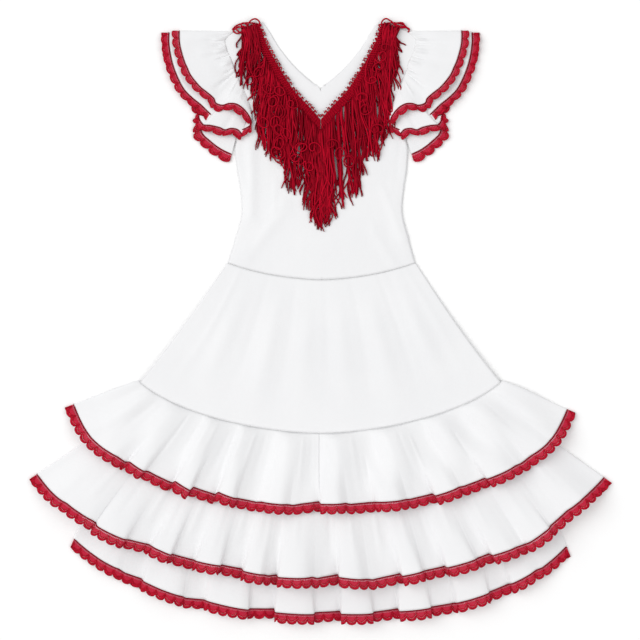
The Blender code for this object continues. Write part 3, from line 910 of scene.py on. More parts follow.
@dataclass(frozen=True)
class Bow:
    """A seam or hem that is deepest on the centre line and rises to both sides."""

    depth: float
    half_axis: float
    rise: float
    power: float
    lowest_across: float = 0.0

    def at(self, across: Values) -> Values:
        """Depth of the line at a distance across."""
        share = np.minimum(np.abs(across - self.lowest_across) / self.half_axis, 1.0)
        return self.depth - self.rise * (1.0 - (1.0 - share ** self.power) ** (1.0 / self.power))


WAIST_SEAM = Bow(393.8, 183.0, 57.0, 1.7)
WAIST_HALF = 140.5
FRILL_1_SEAM = Bow(623.6, 288.0, 106.3, 1.75)
FRILL_1_HALF = 270.0
FRILL_2_SEAM = Bow(694.5, 450.0, 296.0, 2.0)
FRILL_2_HALF = 311.0
FRILL_3_SEAM = Bow(762.0, 450.0, 265.0, 2.0)
FRILL_3_HALF = 326.0


# ---- bodice


@dataclass(frozen=True)
class Bodice:
    """The two bodice panels, open at the V neck.

    A row of a panel is the across and depth of its inner and outer end, and how the line bows between them.
    The last row is the waist seam. A ridge or crease is the across and depth of both ends, its half width and
    its height.
    """

    front_rows: tuple = (
        (89.3, 7.5, 132.8, 22.5, 1), (84.8, 19.5, 144.8, 34.5, 1), (79.5, 36, 141.8, 51, 1),
        (72, 51, 134.3, 67.5, 1), (63, 67.5, 126.8, 88.5, 1), (53.3, 84, 117.8, 106.5, 1),
        (36.8, 109.5, 105, 135, 1), (16.5, 130.5, 102.8, 157.5, 1), (0, 149.3, 127, 187.5, 1.2),
        (0, 192, 127.8, 222, 1.3), (0, 237, 123, 253.5, 1.4), (0, 282, 120, 292.5, 1.5),
        (0, 334.5, 129, 330, 1.6), (0, 0, WAIST_HALF, 0, 0),
    )
    back_rows: tuple = (
        (86, 7.5, 132.8, 22.5, 1), (75, 24, 144.8, 34.5, 1), (64.5, 42, 141.8, 51, 1),
        (55.5, 54, 136.5, 67.5, 1), (46.5, 65.3, 133.5, 94.5, 1), (36, 76.5, 130.5, 121.5, 1),
        (26.3, 85.5, 129, 142.5, 1), (12, 97.5, 127.5, 165, 1), (0, 106.5, 127, 187.5, 1.2),
        (0, 165, 127.8, 222, 1.3), (0, 225, 123, 253.5, 1.4), (0, 282, 120, 292.5, 1.5),
        (0, 334.5, 129, 330, 1.6), (0, 0, WAIST_HALF, 0, 0),
    )
    ridges: tuple = (
        (-106, 190, -106, 296, 13, 2.6), (-56, 284, -114, 356, 15, 2.6), (97, 262, 122, 330, 12, 2.2),
        (80, 320, 108, 366, 13, 2),
    )
    creases: tuple = (
        (-70, 246, -72, 292, 5, 0.7), (-52, 284, -88, 312, 7, -0.9), (-88, 312, -116, 358, 8, -1),
        (96, 252, 121, 322, 7, -1), (82, 320, 113, 364, 8, -0.9), (-30, 340, 20, 352, 12, 0.5),
        (-118, 196, -112, 250, 6, -0.8), (118, 190, 112, 240, 6, -0.7),
    )
    rise: float = 2.0
    rise_half: float = 100.0
    rise_from: float = 5.0
    rise_over: float = 60.0
    straight_rows: float = 6.0
    inner_lines: int = 40
    fine_rows: int = 104
    side_roll: float = 0.8
    side_roll_reach: float = 5.0
    under_arm: float = 185.0
    under_arm_over: float = 15.0
    weld_reach: float = 0.00002
    flat: tuple[float, float] = (0.30, 0.40)
    front_area: float = 0.080
    back_area: float = 0.087

    def front_height(self, across: Array, depth: Array) -> Array:
        """Find the middle height of the bodice front, without its fine creases.

        Args:
            across: Across of the places.
            depth: Depth of the places.

        Returns:
            The height at each place.
        """
        over = np.maximum(0.0, 1.0 - (across / self.rise_half) ** 2)
        swell = self.rise * over * ease((depth - self.rise_from) / self.rise_over)
        return level(1) + swell + sum(ridge(across, depth, row) for row in self.ridges)

    def creased_height(self, across: Array, depth: Array) -> Array:
        """Middle height of the bodice front with its fine creases."""
        return self.front_height(across, depth) + sum(ridge(across, depth, row) for row in self.creases)

    def half(self, rows: tuple) -> tuple[Array, Array]:
        """Lay out one half of a panel.

        Args:
            rows: The panel's rows, from the top down.

        Returns:
            Across and depth of fine points, with rows down and columns outward.
        """
        shares = np.linspace(0.0, 1.0, self.inner_lines)
        across, depth = [], []
        for inner_across, inner_depth, outer_across, outer_depth, bow in rows:
            row_across = blend(inner_across, outer_across, shares)
            across.append(row_across)
            if bow == 0.0:
                depth.append(WAIST_SEAM.at(row_across) - SEAM_GAP)
            else:
                depth.append(blend(inner_depth, outer_depth, shares ** bow))
        nodes = np.stack((np.array(across), np.array(depth)), axis=-1)
        at = np.linspace(0.0, len(rows) - 1.0, self.fine_rows)
        fine = catmull(nodes, at)
        straight = along(nodes[:, 0], np.arange(len(rows)), at)
        fine[:, 0, :] = blend(fine[:, 0, :], straight, ease(at - self.straight_rows)[:, None])
        fine[:, :, 0] = np.maximum(fine[:, :, 0], 0.0)
        return fine[:, :, 0], fine[:, :, 1]

    def panel(self, name: str, rows: tuple, height: Callable[[Array, Array], Values],
              finishes: Finishes) -> Object:
        """Make one panel, its halves joined below the V.

        Args:
            name: The piece's name.
            rows: The panel's rows, from the top down.
            height: Middle height at an across and depth.
            finishes: The dress's finishes.

        Returns:
            The panel.
        """
        across, depth = self.half(rows)
        parts, faces, count = [], [], 0
        for side in (-1.0, 1.0):
            order = slice(None, None, -1) if side < 0.0 else slice(None)
            spot_across, spot_depth = side * across[:, order], depth[:, order]
            middle = height(spot_across, spot_depth) - seam_roll(WAIST_SEAM.at(spot_across) - spot_depth)
            side_edge = np.abs(spot_across).max(axis=1, keepdims=True) - np.abs(spot_across)
            rolled = self.side_roll * np.exp(-(side_edge / self.side_roll_reach) ** 2)
            middle = middle - rolled * ease((spot_depth - self.under_arm) / self.under_arm_over)
            points = place(spot_across, spot_depth, np.maximum(middle, BED)).transpose(1, 0, 2)
            parts.append(points.reshape(-1, 3))
            quads = grid_faces(points.shape[0], points.shape[1])
            faces += [tuple(corner + count for corner in quad) for quad in quads]
            count += points.shape[0] * points.shape[1]
        made = add_object(name, np.concatenate(parts), faces, finishes.crepe)
        weld(made, self.weld_reach)
        thicken(made, CLOTH_THICKNESS)
        return made

    def build(self, finishes: Finishes) -> None:
        """Make both panels.

        Args:
            finishes: The dress's finishes.
        """
        front = self.panel("bodice_front_cloth", self.front_rows, self.creased_height, finishes)
        seat(front, "white_cloth", "bodice_front")
        back = self.panel("bodice_back_cloth", self.back_rows, lambda across, depth: BED, finishes)
        seat(back, "white_cloth", "bodice_back")


# ---- skirt


@dataclass(frozen=True)
class SkirtPanel:
    """A flared panel between two bowed seams."""

    name: str
    top: Bow
    top_half: float
    bottom: Bow
    bottom_half: float
    hollow: float
    columns: int
    rows: int
    flat: tuple[float, float]
    area: float
    rests_on: str

    def build(self, height: Callable[[Array, Array], Values], finishes: Finishes) -> None:
        """Make the panel.

        Args:
            height: Middle height at a place across, from -1 to 1, and a share of the way down.
            finishes: The dress's finishes.
        """
        spot = np.linspace(-1.0, 1.0, self.columns)[:, None]
        share = np.linspace(0.0, 1.0, self.rows)[None, :]
        start_across, end_across = self.top_half * spot, self.bottom_half * spot
        start, end = self.top.at(start_across) + SEAM_GAP, self.bottom.at(end_across) - SEAM_GAP
        narrowing = 1.0 - 4.0 * self.hollow * share * (1.0 - share) / (self.top_half + self.bottom_half)
        across = blend(start_across, end_across, share) * narrowing
        depth = blend(start, end, share)
        span = end - start
        middle = height(spot, share) - (seam_roll(share * span) + seam_roll((1.0 - share) * span))
        points = place(across, depth, np.maximum(middle, BED))
        made = add_object(self.name + "_cloth", points, grid_faces(self.columns, self.rows), finishes.crepe)
        thicken(made, CLOTH_THICKNESS)
        seat(made, "white_cloth", self.name)


@dataclass(frozen=True)
class Skirt:
    """The skirt panels above and under the frills.

    A ridge or crease is its place across, from -1 to 1, its half width on the same scale and its height.
    """

    bodice: Bodice
    ridges: tuple = (
        (-0.72, 0.09, 2.6), (-0.4, 0.1, 3.0), (-0.12, 0.1, 2.0), (0.17, 0.1, 2.2), (0.46, 0.1, 3.0),
        (0.76, 0.08, 2.4),
    )
    creases: tuple = (
        (-0.86, 0.035, 0.9), (-0.56, 0.05, -0.8), (-0.27, 0.05, -0.6), (0.03, 0.05, -0.5),
        (0.31, 0.05, -0.7), (0.6, 0.04, -0.9), (0.88, 0.04, 0.8),
    )
    crease_sway: float = 0.02
    hollow: float = 7.0
    lower_inset: float = 5.0
    climb: float = 0.42

    def front_height(self, spot: Array, share: Array) -> Array:
        """Find the middle height of the skirt front, with soft ridges fanning to the frill seam.

        Args:
            spot: Place across, from -1 to 1.
            share: Share of the way down.

        Returns:
            The height.
        """
        waist = spot * WAIST_HALF
        inner = self.bodice.front_height(waist, WAIST_SEAM.at(waist))
        broad = sum(high * hump((spot - at) / half) for at, half, high in self.ridges)
        sway = self.crease_sway * np.sin(4.0 * share)
        fine = sum(high * hump((spot - at - sway) / half) for at, half, high in self.creases)
        return (blend(inner, level(3), ease(share)) + broad * np.sin(math.pi * share) ** 2
                + fine * np.sin(math.pi * np.minimum(1.0, 0.15 + 0.85 * share)) ** 1.5)

    def build(self, finishes: Finishes) -> None:
        """Make the four panels.

        Args:
            finishes: The dress's finishes.
        """
        upper = dict(top=WAIST_SEAM, top_half=WAIST_HALF, bottom=FRILL_1_SEAM, bottom_half=FRILL_1_HALF,
                     hollow=self.hollow, flat=(0.56, 0.30), area=0.091)
        SkirtPanel("skirt_front", columns=170, rows=60, rests_on="skirt_back_cloth", **upper).build(
            self.front_height, finishes)
        SkirtPanel("skirt_back", columns=60, rows=24, rests_on="table", **upper).build(
            lambda spot, share: BED, finishes)
        lower = dict(top=FRILL_1_SEAM, top_half=FRILL_1_HALF - self.lower_inset, bottom=FRILL_3_SEAM,
                     bottom_half=FRILL_3_HALF - self.lower_inset, hollow=0.0, columns=60, rows=20,
                     flat=(0.66, 0.26), area=0.087, rests_on="skirt_back_cloth")
        for word, under in (("front", 2), ("back", 1)):
            SkirtPanel(f"lower_skirt_{word}", **lower).build(
                lambda spot, share, under=under: level(under + np.minimum(1.0, share / self.climb)), finishes)


# ---- frills


@dataclass(frozen=True)
class Fold:
    """One raised fold of a frill.

    It meets the hem from start to end. Its hem hangs lower than the bow by hang at its two sides, and the hem
    of the trough after it by gap. Left and right say how sharply each side laps over, from 0 to 1. Valley and
    peak are where the soft cone above it starts and is highest.
    """

    start: float
    end: float
    height: float
    hang: tuple[float, float]
    gap: tuple[float, float]
    left: float
    right: float
    valley: float = 0.0
    peak: float = 0.0

    @property
    def middle(self) -> float:
        """Across of its crest."""
        return (self.start + self.end) / 2.0

    @property
    def half(self) -> float:
        """Half its width."""
        return (self.end - self.start) / 2.0

    def feet(self, foot: float, widest: float) -> tuple[float, float]:
        """Half the width of its left and right slope at the hem."""
        reach = min(widest, 0.8 * self.half)
        return blend(reach, foot, self.left), blend(reach, foot, self.right)


@dataclass(frozen=True)
class Frill:
    """A lace-edged frill all round the skirt, folded at the front and flat at the back.

    Growth is how a fold's height grows on the way down: a power, or how fast it comes and how much of it
    there is at first. Crisping is how fast its sides get steep. Flatness is a fold's height at its two sides,
    as a share. A crease is its across at the hem, half width, height, and the shares where it starts and
    ends.
    """

    name: str
    seam: Bow
    seam_half: float
    hem: Bow
    hem_half: float
    seam_height: float
    trough_height: float
    side_height: float
    growth: float | tuple[float, float]
    crisping: float
    flatness: float
    cones: bool
    first_gap: float
    back_heights: tuple
    folds: tuple
    creases: tuple
    flat: tuple[float, float]
    area: float
    rests_on: str
    seed: int
    foot: float = 4.5
    soft_foot: float = 20.0
    column_pitch: float = 3.0
    fine_reach: float = 9.0
    fine_columns: int = 19
    closest_columns: float = 0.45
    back_columns: int = 120
    side_columns: int = 6
    side_bulge: float = 0.55
    lap: float = 4.5
    tuck: float = 2.0
    lap_reach: float = 18.0
    lap_height: float = 14.0
    lap_power: float = 2.6
    drift: float = 2.2
    drift_length: float = 90.0
    peak_place: float = 0.4
    peak_lean: float = 0.25
    crisp_from: float = 0.3
    crisp_over: float = 0.62
    crease_starts: float = 0.18
    crease_ends: float = 0.3
    belly: float = 0.6
    side_share: float = 0.07
    sag: float = 0.5
    sag_gap: float = 3.0
    first_height: float = 0.6
    past_side: float = 40.0
    back_shorter: float = 9.0
    pressed: float = 0.18
    pressed_length: float = 40.0
    rows: int = 34

    def columns(self) -> Array:
        """Choose the columns, closer where the cloth turns into a fold.

        Returns:
            Across of the hem for each column.
        """
        places = [np.arange(-self.hem_half, self.hem_half, self.column_pitch), (self.hem_half,)]
        for fold in self.folds:
            for edge in (fold.start, fold.end):
                places.append(np.linspace(edge - self.fine_reach, edge + self.fine_reach, self.fine_columns))
        across = np.unique(np.concatenate(places))
        across = across[np.abs(across) <= self.hem_half]
        keep = np.concatenate(((True,), np.diff(across) > self.closest_columns))
        return across[keep]

    def crest(self, across: Array, share: Array) -> Array:
        """Find how fully the cloth stands in a fold.

        Args:
            across: Across of the hem.
            share: Share of the way down from the seam.

        Returns:
            From 0 in a trough to 1 on a fold.
        """
        left = np.ones(np.broadcast(across, share).shape)
        for fold in self.folds:
            widest = min(self.soft_foot, fold.half)
            near, far = fold.feet(self.foot, self.soft_foot)
            rising = blend(widest, near, share ** self.crisping)
            falling = blend(widest, far, share ** self.crisping)
            rise = ease((across - fold.start + rising) / (2.0 * rising))
            fall = ease((fold.end + falling - across) / (2.0 * falling))
            left = left * (1.0 - rise * fall)
        return 1.0 - left

    def fold_height(self, across: Array) -> Array:
        """Find the height of the folds, rounded over the crest and highest towards the sharper side.

        Args:
            across: Across of the hem for each column.

        Returns:
            The height at each column.
        """
        top = lookup([(fold.middle, fold.height) for fold in self.folds], across)
        rounding = np.full_like(across, self.flatness)
        for fold in self.folds:
            peak = self.peak_place + self.peak_lean * (fold.right - fold.left)
            spot = (across - fold.middle) / fold.half
            away = np.where(spot < peak, (peak - spot) / (1.0 + peak), (spot - peak) / (1.0 - peak))
            rounding = np.maximum(rounding, 1.0 - (1.0 - self.flatness) * np.clip(away, 0.0, 1.0) ** 2)
        return top * rounding

    def soft_height(self, across: Array) -> Array:
        """Find the height of the cones that run down from the gathers.

        Args:
            across: Across of the hem for each column.

        Returns:
            The height at each column.
        """
        nodes = [(-self.hem_half, self.first_height * self.folds[0].height)]
        for fold in self.folds:
            nodes += [(fold.valley, 0.0), (fold.peak, fold.height)]
        nodes.append((self.hem_half + self.past_side, 0.0))
        table = np.array(nodes)
        index = np.clip(np.searchsorted(table[:, 0], across, side="right") - 1, 0, len(table) - 2)
        start, end = table[index], table[index + 1]
        return blend(start[:, 1], end[:, 1], ease((across - start[:, 0]) / (end[:, 0] - start[:, 0])))

    def sagging(self, across: Array) -> Array:
        """Height of the cloth between folds, which sags away from the fold before it."""
        spots = [spot for fold in self.folds
                 for spot in ((fold.start - self.sag_gap, 0.0), (fold.end, self.sag * fold.height))]
        return lookup([(-self.hem_half, 0.0), *spots, (self.hem_half, 0.0)], across)

    def raised(self, across: Array, share: Array) -> Array:
        """Find the height of the cloth over the troughs: cones from the gathers that end in crisper folds.

        Args:
            across: Across of the hem for each column.
            share: Share of the way down from the seam.

        Returns:
            The height at each point.
        """
        crest = self.crest(across[:, None], share)
        folded = blend(self.sagging(across)[:, None], self.fold_height(across)[:, None], crest)
        if self.cones:
            crisp = ease((share - self.crisp_from) / self.crisp_over)
            folded = blend(self.soft_height(across)[:, None], folded, crisp)
        return folded * self.growing(share)

    def growing(self, share: Array) -> Array:
        """Find how much of its height a fold has reached: at once from the gathers, or slowly.

        Args:
            share: Share of the way down from the seam.

        Returns:
            The share of its height.
        """
        if isinstance(self.growth, tuple):
            start, early = self.growth
            return (1.0 - np.exp(-share / start)) * blend(early, 1.0, share)
        return share ** self.growth

    def overlap(self, across: Array) -> Array:
        """Find the sideways shift at the hem that laps each fold's sharp sides over the troughs.

        Args:
            across: Across of the hem for each column.

        Returns:
            The shift at each column.
        """
        total = np.zeros_like(across)
        for fold in self.folds:
            nodes = (-self.foot - self.lap_reach, -self.foot, self.foot, self.foot + self.lap_reach)
            for edge, way, sharp in ((fold.start, 1.0, fold.left), (fold.end, -1.0, fold.right)):
                size = min(1.0, fold.height / self.lap_height) * sharp
                inside = (across - edge) * way
                total += way * np.interp(inside, nodes, (0.0, self.lap * size, -self.tuck * size, 0.0))
        return total

    def hang(self, across: Array) -> Array:
        """Find how much lower than its bow the hem hangs.

        Args:
            across: Across of the hem for each column.

        Returns:
            The drop at each column.
        """
        nodes = [(-self.hem_half, 0.0)]
        last = self.first_gap
        for fold in self.folds:
            nodes += [(fold.start - self.foot, last), (fold.start + self.foot, fold.hang[0]),
                      (fold.end - self.foot, fold.hang[1]), (fold.end + self.foot, fold.gap[0])]
            last = fold.gap[1]
        nodes.append((self.hem_half, last))
        table = np.array(nodes)
        table[:, 0] = np.maximum.accumulate(table[:, 0] + np.arange(len(table)) * 1e-6)
        return lookup(table, across)

    def inward(self, across: Array) -> Array:
        """How far a column is from the folded sides, from 0 on them to 1."""
        return ease((1.0 - np.abs(across / self.hem_half)) / self.side_share)

    def flat_lines(self, across: Array, longer: Values) -> tuple[Array, Array]:
        """Lay each column on the table.

        Args:
            across: Across of the hem for each column.
            longer: How much further than the bow each column's hem hangs.

        Returns:
            Across and depth of the seam end, and of the hem end.
        """
        seam_across = self.seam_half * (across / self.hem_half)
        start = np.stack((seam_across, self.seam.at(seam_across) + SEAM_GAP), axis=-1)
        end = np.stack((across, self.hem.at(across)), axis=-1)
        return start, end + unit(end - start) * np.broadcast_to(longer, across.shape)[:, None]

    def front(self) -> Array:
        """Shape the front.

        Returns:
            Its points, column by column from the -X side to the +X side.
        """
        random = np.random.default_rng(self.seed)
        across = self.columns()
        share = np.linspace(0.0, 1.0, self.rows)[None, :]
        full = self.crest(across[:, None], np.ones((1, 1)))[:, 0]
        inward = self.inward(across)
        start, end = self.flat_lines(across, self.hang(across) + self.belly * full)
        line = start[:, None, :] + (end - start)[:, None, :] * share[..., None]
        tangent = unit(np.gradient(np.stack((across, self.hem.at(across)), axis=-1), axis=0))
        shift = self.overlap(across) * inward
        drift = self.drift * wander(across / self.drift_length, random, 0.4, 1.3) * inward
        sideways = shift[:, None] * share ** self.lap_power + drift[:, None] * np.sin(math.pi * share)
        line = line + tangent[:, None, :] * sideways[..., None]
        base = blend(blend(self.seam_height, self.side_height, share),
                     blend(self.seam_height, self.trough_height, share), inward[:, None])
        creased = self.crease_heights(across[:, None], share) * inward[:, None]
        length = np.linalg.norm(end - start, axis=-1)[:, None]
        middle = base + self.raised(across, share) + creased - seam_roll(share * length)
        return place(line[..., 0], line[..., 1], middle)

    def crease_heights(self, across: Array, share: Array) -> Array:
        """Find the height of the soft creases that run down from the seam.

        Args:
            across: Across of the hem.
            share: Share of the way down from the seam.

        Returns:
            The added height at each point.
        """
        total = np.zeros(np.broadcast(across, share).shape)
        for at, half, high, top, low in self.creases:
            width = half * (0.45 + 0.55 * share)
            fade = ease((share - top) / self.crease_starts) * ease((low - share) / self.crease_ends)
            total += high * hump((across - at) / width) * fade
        return total

    def back(self) -> Array:
        """Shape the back.

        Returns:
            Its points, column by column from the +X side round to the -X side.
        """
        random = np.random.default_rng(self.seed + 50)
        across = self.hem_half * np.linspace(1.0, -1.0, self.back_columns)
        share = np.linspace(0.0, 1.0, self.rows)[None, :]
        inward = self.inward(across)
        start, end = self.flat_lines(across, -self.back_shorter * inward)
        line = start[:, None, :] + (end - start)[:, None, :] * share[..., None]
        uneven = self.pressed * wander(across / self.pressed_length, random, 0.5, 1.4)
        middle = lookup(self.back_heights, share)
        middle = middle + uneven[:, None] * np.sin(math.pi * share) * inward[:, None]
        return place(line[..., 0], line[..., 1], np.maximum(middle, BED))

    def side_fold(self, upper: Array, lower: Array) -> Array:
        """Roll the cloth over at one side.

        Args:
            upper: Points of the column at the edge of one face.
            lower: Points of the column at the edge of the other face.

        Returns:
            Points of the columns between them.
        """
        down = upper[-1] - upper[0]
        outward = unit(np.array((down[1], -down[0], 0.0)))
        if outward[0] * upper[0][0] < 0.0:
            outward = -outward
        columns = []
        for number in range(1, self.side_columns + 1):
            angle = math.pi * number / (self.side_columns + 1)
            half = (upper - lower) / 2.0
            bulge = self.side_bulge * np.abs(upper[:, 2:3] - lower[:, 2:3])
            columns.append((upper + lower) / 2.0 + half * math.cos(angle) + outward * bulge * math.sin(angle))
        return np.array(columns)

    def build(self, finishes: Finishes) -> None:
        """Make the frill's cloth, its lace and its piping.

        Args:
            finishes: The dress's finishes.
        """
        front, back = self.front(), self.back()
        ring = np.concatenate((front, self.side_fold(front[-1], back[0]), back,
                               self.side_fold(back[-1], front[0])))
        faces = grid_faces(len(ring), self.rows, closed=True)
        made = add_object(self.name + "_cloth", ring, faces, finishes.crepe)
        thicken(made, CLOTH_THICKNESS)
        seat(made, "white_cloth", self.name)
        lace = LaceEdge(self.name + "_lace_band", self.name + "_lace", closed=True, seed=self.seed)
        trims = lace.build(ring[:, -1].copy(), ring[:, -3].copy(), finishes)


def upper_frill() -> Frill:
    """The first frill, with soft cones over its folds.

    Returns:
        The frill.
    """
    folds = (
        Fold(-335, -301, 7, (-0.5, -4.9), (-3.6, -3.6), 0, 0, -358, -341),
        Fold(-291, -262, 13, (-8.6, -6.4), (-7.8, -3.7), 1, 0.7, -320, -288),
        Fold(-222, -192, 16, (-9.7, -3.2), (-7.6, -3), 1, 1, -238, -218),
        Fold(-157, -124, 17, (-9.4, -4.2), (-3.3, -0.5), 0.9, 0.5, -168, -150),
        Fold(-92, -45, 15, (-2.3, -1.2), (0.3, -4.7), 0.1, 0, -97, -62),
        Fold(-2, 41, 18, (-2.9, -3.8), (-1.3, -1.7), 0.9, 0.1, -4, 32),
        Fold(80, 130, 19, (-3, -2.8), (-1.5, -2.6), 0.6, 0.3, 94, 130),
        Fold(168, 211, 15, (-0.6, -4.7), (-3.3, -3.4), 0.9, 0.2, 197, 232),
        Fold(246, 294, 14, (-2.5, -1.8), (0.4, 0.5), 0.9, 0.3, 272, 304),
        Fold(309, 340, 8, (-1.1, 0.8), (1, 0), 0.1, 0, 344, 358),
    )
    creases = (
        (-318, 9, 1.2, 0.02, 0.8), (-263, 8, -1, 0, 0.9), (-236, 6, -0.8, 0, 0.6),
        (-205, 8, 0.8, 0, 0.7), (-178, 7, -0.8, 0.1, 1), (-128, 9, 0.8, 0, 0.85),
        (-108, 8, -0.7, 0, 0.8), (-80, 7, 0.9, 0, 0.8), (-34, 8, 0.8, 0, 0.9), (-18, 6, -0.6, 0, 0.9),
        (-2.4, 1.7, -1.3, -0.2, 1.4), (12, 6, -0.6, 0, 0.8), (62, 9, 0.9, 0, 1), (80, 6, -0.8, 0.3, 1),
        (108, 8, 0.9, 0, 0.75), (152, 8, -0.8, 0, 0.9), (172, 7, 0.8, 0.1, 0.9), (210, 8, 0.9, 0, 0.9),
        (246, 8, -0.9, 0.2, 1), (286, 8, 0.8, 0, 0.9), (322, 7, -0.7, 0, 0.8), (352, 6, 0.6, 0, 0.9),
    )
    return Frill(
        "frill_1", seam=FRILL_1_SEAM, seam_half=FRILL_1_HALF, hem=Bow(728.6, 379.5, 205.9, 2.3, 1.5),
        hem_half=368.5, seam_height=level(3), trough_height=16.0, side_height=4.0, growth=(0.07, 0.62),
        crisping=2.2, flatness=0.55, cones=True, first_gap=1.0,
        back_heights=((0.0, level(0)), (1.0, level(0))),
        folds=folds, creases=creases, flat=(1.78, 0.13), area=0.168, rests_on="frill_2_cloth", seed=11)


def middle_frill() -> Frill:
    """The second frill, the widest one.

    Returns:
        The frill.
    """
    folds = (
        Fold(-386, -342, 7, (-8.8, -10.3), (-8.8, -7.9), 0, 0.2),
        Fold(-338, -290, 14, (-6.3, -7.9), (-8, -11.5), 0.5, 0.8),
        Fold(-258, -223, 16, (-12.5, -9.7), (-9.5, -8.3), 0.6, 1),
        Fold(-190, -149, 18, (-10, -11.3), (-10.9, -9), 0.8, 1),
        Fold(-118, -82, 18, (-8.5, -7.3), (-4.8, -6), 0.8, 0.5),
        Fold(-65, -8, 22, (-5.5, -8.3), (-5.7, -9), 1, 0.2),
        Fold(26, 73, 22, (-7.9, -2.5), (0.1, -2.1), 1, 0.1),
        Fold(119, 154, 18, (-0.7, -2.8), (-1.7, -0.7), 0.9, 0.7),
        Fold(185, 232, 16, (-0.2, -1.4), (-0.9, -0.8), 0.9, 0.9),
        Fold(252, 292, 13, (1.2, 2.2), (4, 4.5), 1, 0.2),
        Fold(302, 342, 12, (4.2, -1.8), (-2.8, -6), 0.4, 1),
        Fold(367, 400, 7, (-8.6, -8), (-6, 0), 0, 0),
    )
    creases = (
        (-366, 10, 1.4, 0.2, 1), (-318, 9, -1.3, 0.2, 0.9), (-278, 8, 1.3, 0.2, 0.9),
        (-244, 7, -1.2, 0.2, 1), (-210, 9, 1.4, 0.2, 0.9), (-170, 8, 1.2, 0.2, 1),
        (-136, 7, 1.2, 0.2, 0.85), (-96, 9, -1.2, 0.2, 0.9), (-40, 10, 1, 0.2, 0.8),
        (14, 7, -1.1, 0.2, 1), (52, 9, 1.2, 0.2, 0.9), (98, 8, 1.1, 0.2, 0.9), (140, 8, 1.3, 0.2, 0.9),
        (172, 7, -1.1, 0.2, 1), (212, 9, 1.3, 0.2, 0.85), (268, 7, 1.1, 0.2, 0.9),
        (320, 9, 1.3, 0.2, 1), (352, 8, -1.1, 0.2, 0.9), (384, 8, 1.2, 0.2, 0.9),
    )
    return Frill(
        "frill_2", seam=FRILL_2_SEAM, seam_half=FRILL_2_HALF, hem=Bow(841.6, 438.0, 200.3, 1.9, 1.5),
        hem_half=423.0, seam_height=level(4), trough_height=17.5, side_height=4.0, growth=1.6,
        crisping=1.7, flatness=0.66, cones=False, first_gap=-5.7,
        back_heights=((0.0, level(1)), (0.35, level(1)), (0.44, level(0)), (1.0, level(0))),
        folds=folds, creases=creases, flat=(2.05, 0.16), area=0.242, rests_on="frill_3_cloth", seed=12)


def lowest_frill() -> Frill:
    """The third frill, the lowest one.

    Returns:
        The frill.
    """
    folds = (
        Fold(-341, -299, 6, (-5.6, -10.1), (-8.6, -11), 0, 0),
        Fold(-269, -204, 14, (-10.4, -8.4), (-5.8, -8.6), 0.8, 0.6),
        Fold(-174, -106, 16, (-9.7, -6.3), (-6.5, -8), 0.7, 1),
        Fold(-70, -8, 17, (-5.2, -4.5), (-5.4, -6.1), 1, 1),
        Fold(29, 80, 17, (-4.4, -4.1), (-4.4, -5.5), 1, 1),
        Fold(116, 166, 16, (-3.6, -3.2), (-3, -0.7), 1, 1),
        Fold(201, 253, 15, (-2.4, -3.7), (-3.8, -3.3), 0.8, 1),
        Fold(283, 327, 12, (-3.8, -4.9), (-1.8, -2), 0.8, 0),
    )
    creases = (
        (-322, 9, 1.2, 0.3, 1), (-232, 9, 1.2, 0.3, 0.9), (-140, 10, 1.2, 0.3, 0.9),
        (-38, 10, 1.1, 0.3, 0.9), (56, 9, 1.2, 0.3, 0.9), (143, 9, 1.2, 0.3, 0.9),
        (230, 9, 1.2, 0.3, 0.9), (296, 8, 1.1, 0.3, 0.9),
    )
    return Frill(
        "frill_3", seam=FRILL_3_SEAM, seam_half=FRILL_3_HALF, hem=Bow(895.5, 412.5, 231.7, 2.35, 6.0),
        hem_half=368.0, seam_height=level(4), trough_height=4.0, side_height=3.0, growth=1.3,
        crisping=1.3, flatness=0.66, cones=False, first_gap=-3.9,
        back_heights=((0.0, level(1)), (0.86, level(1)), (1.0, level(0))),
        folds=folds, creases=creases, flat=(1.75, 0.16), area=0.205, rests_on="lower_skirt_front_cloth",
        seed=13)


# ---- sleeves


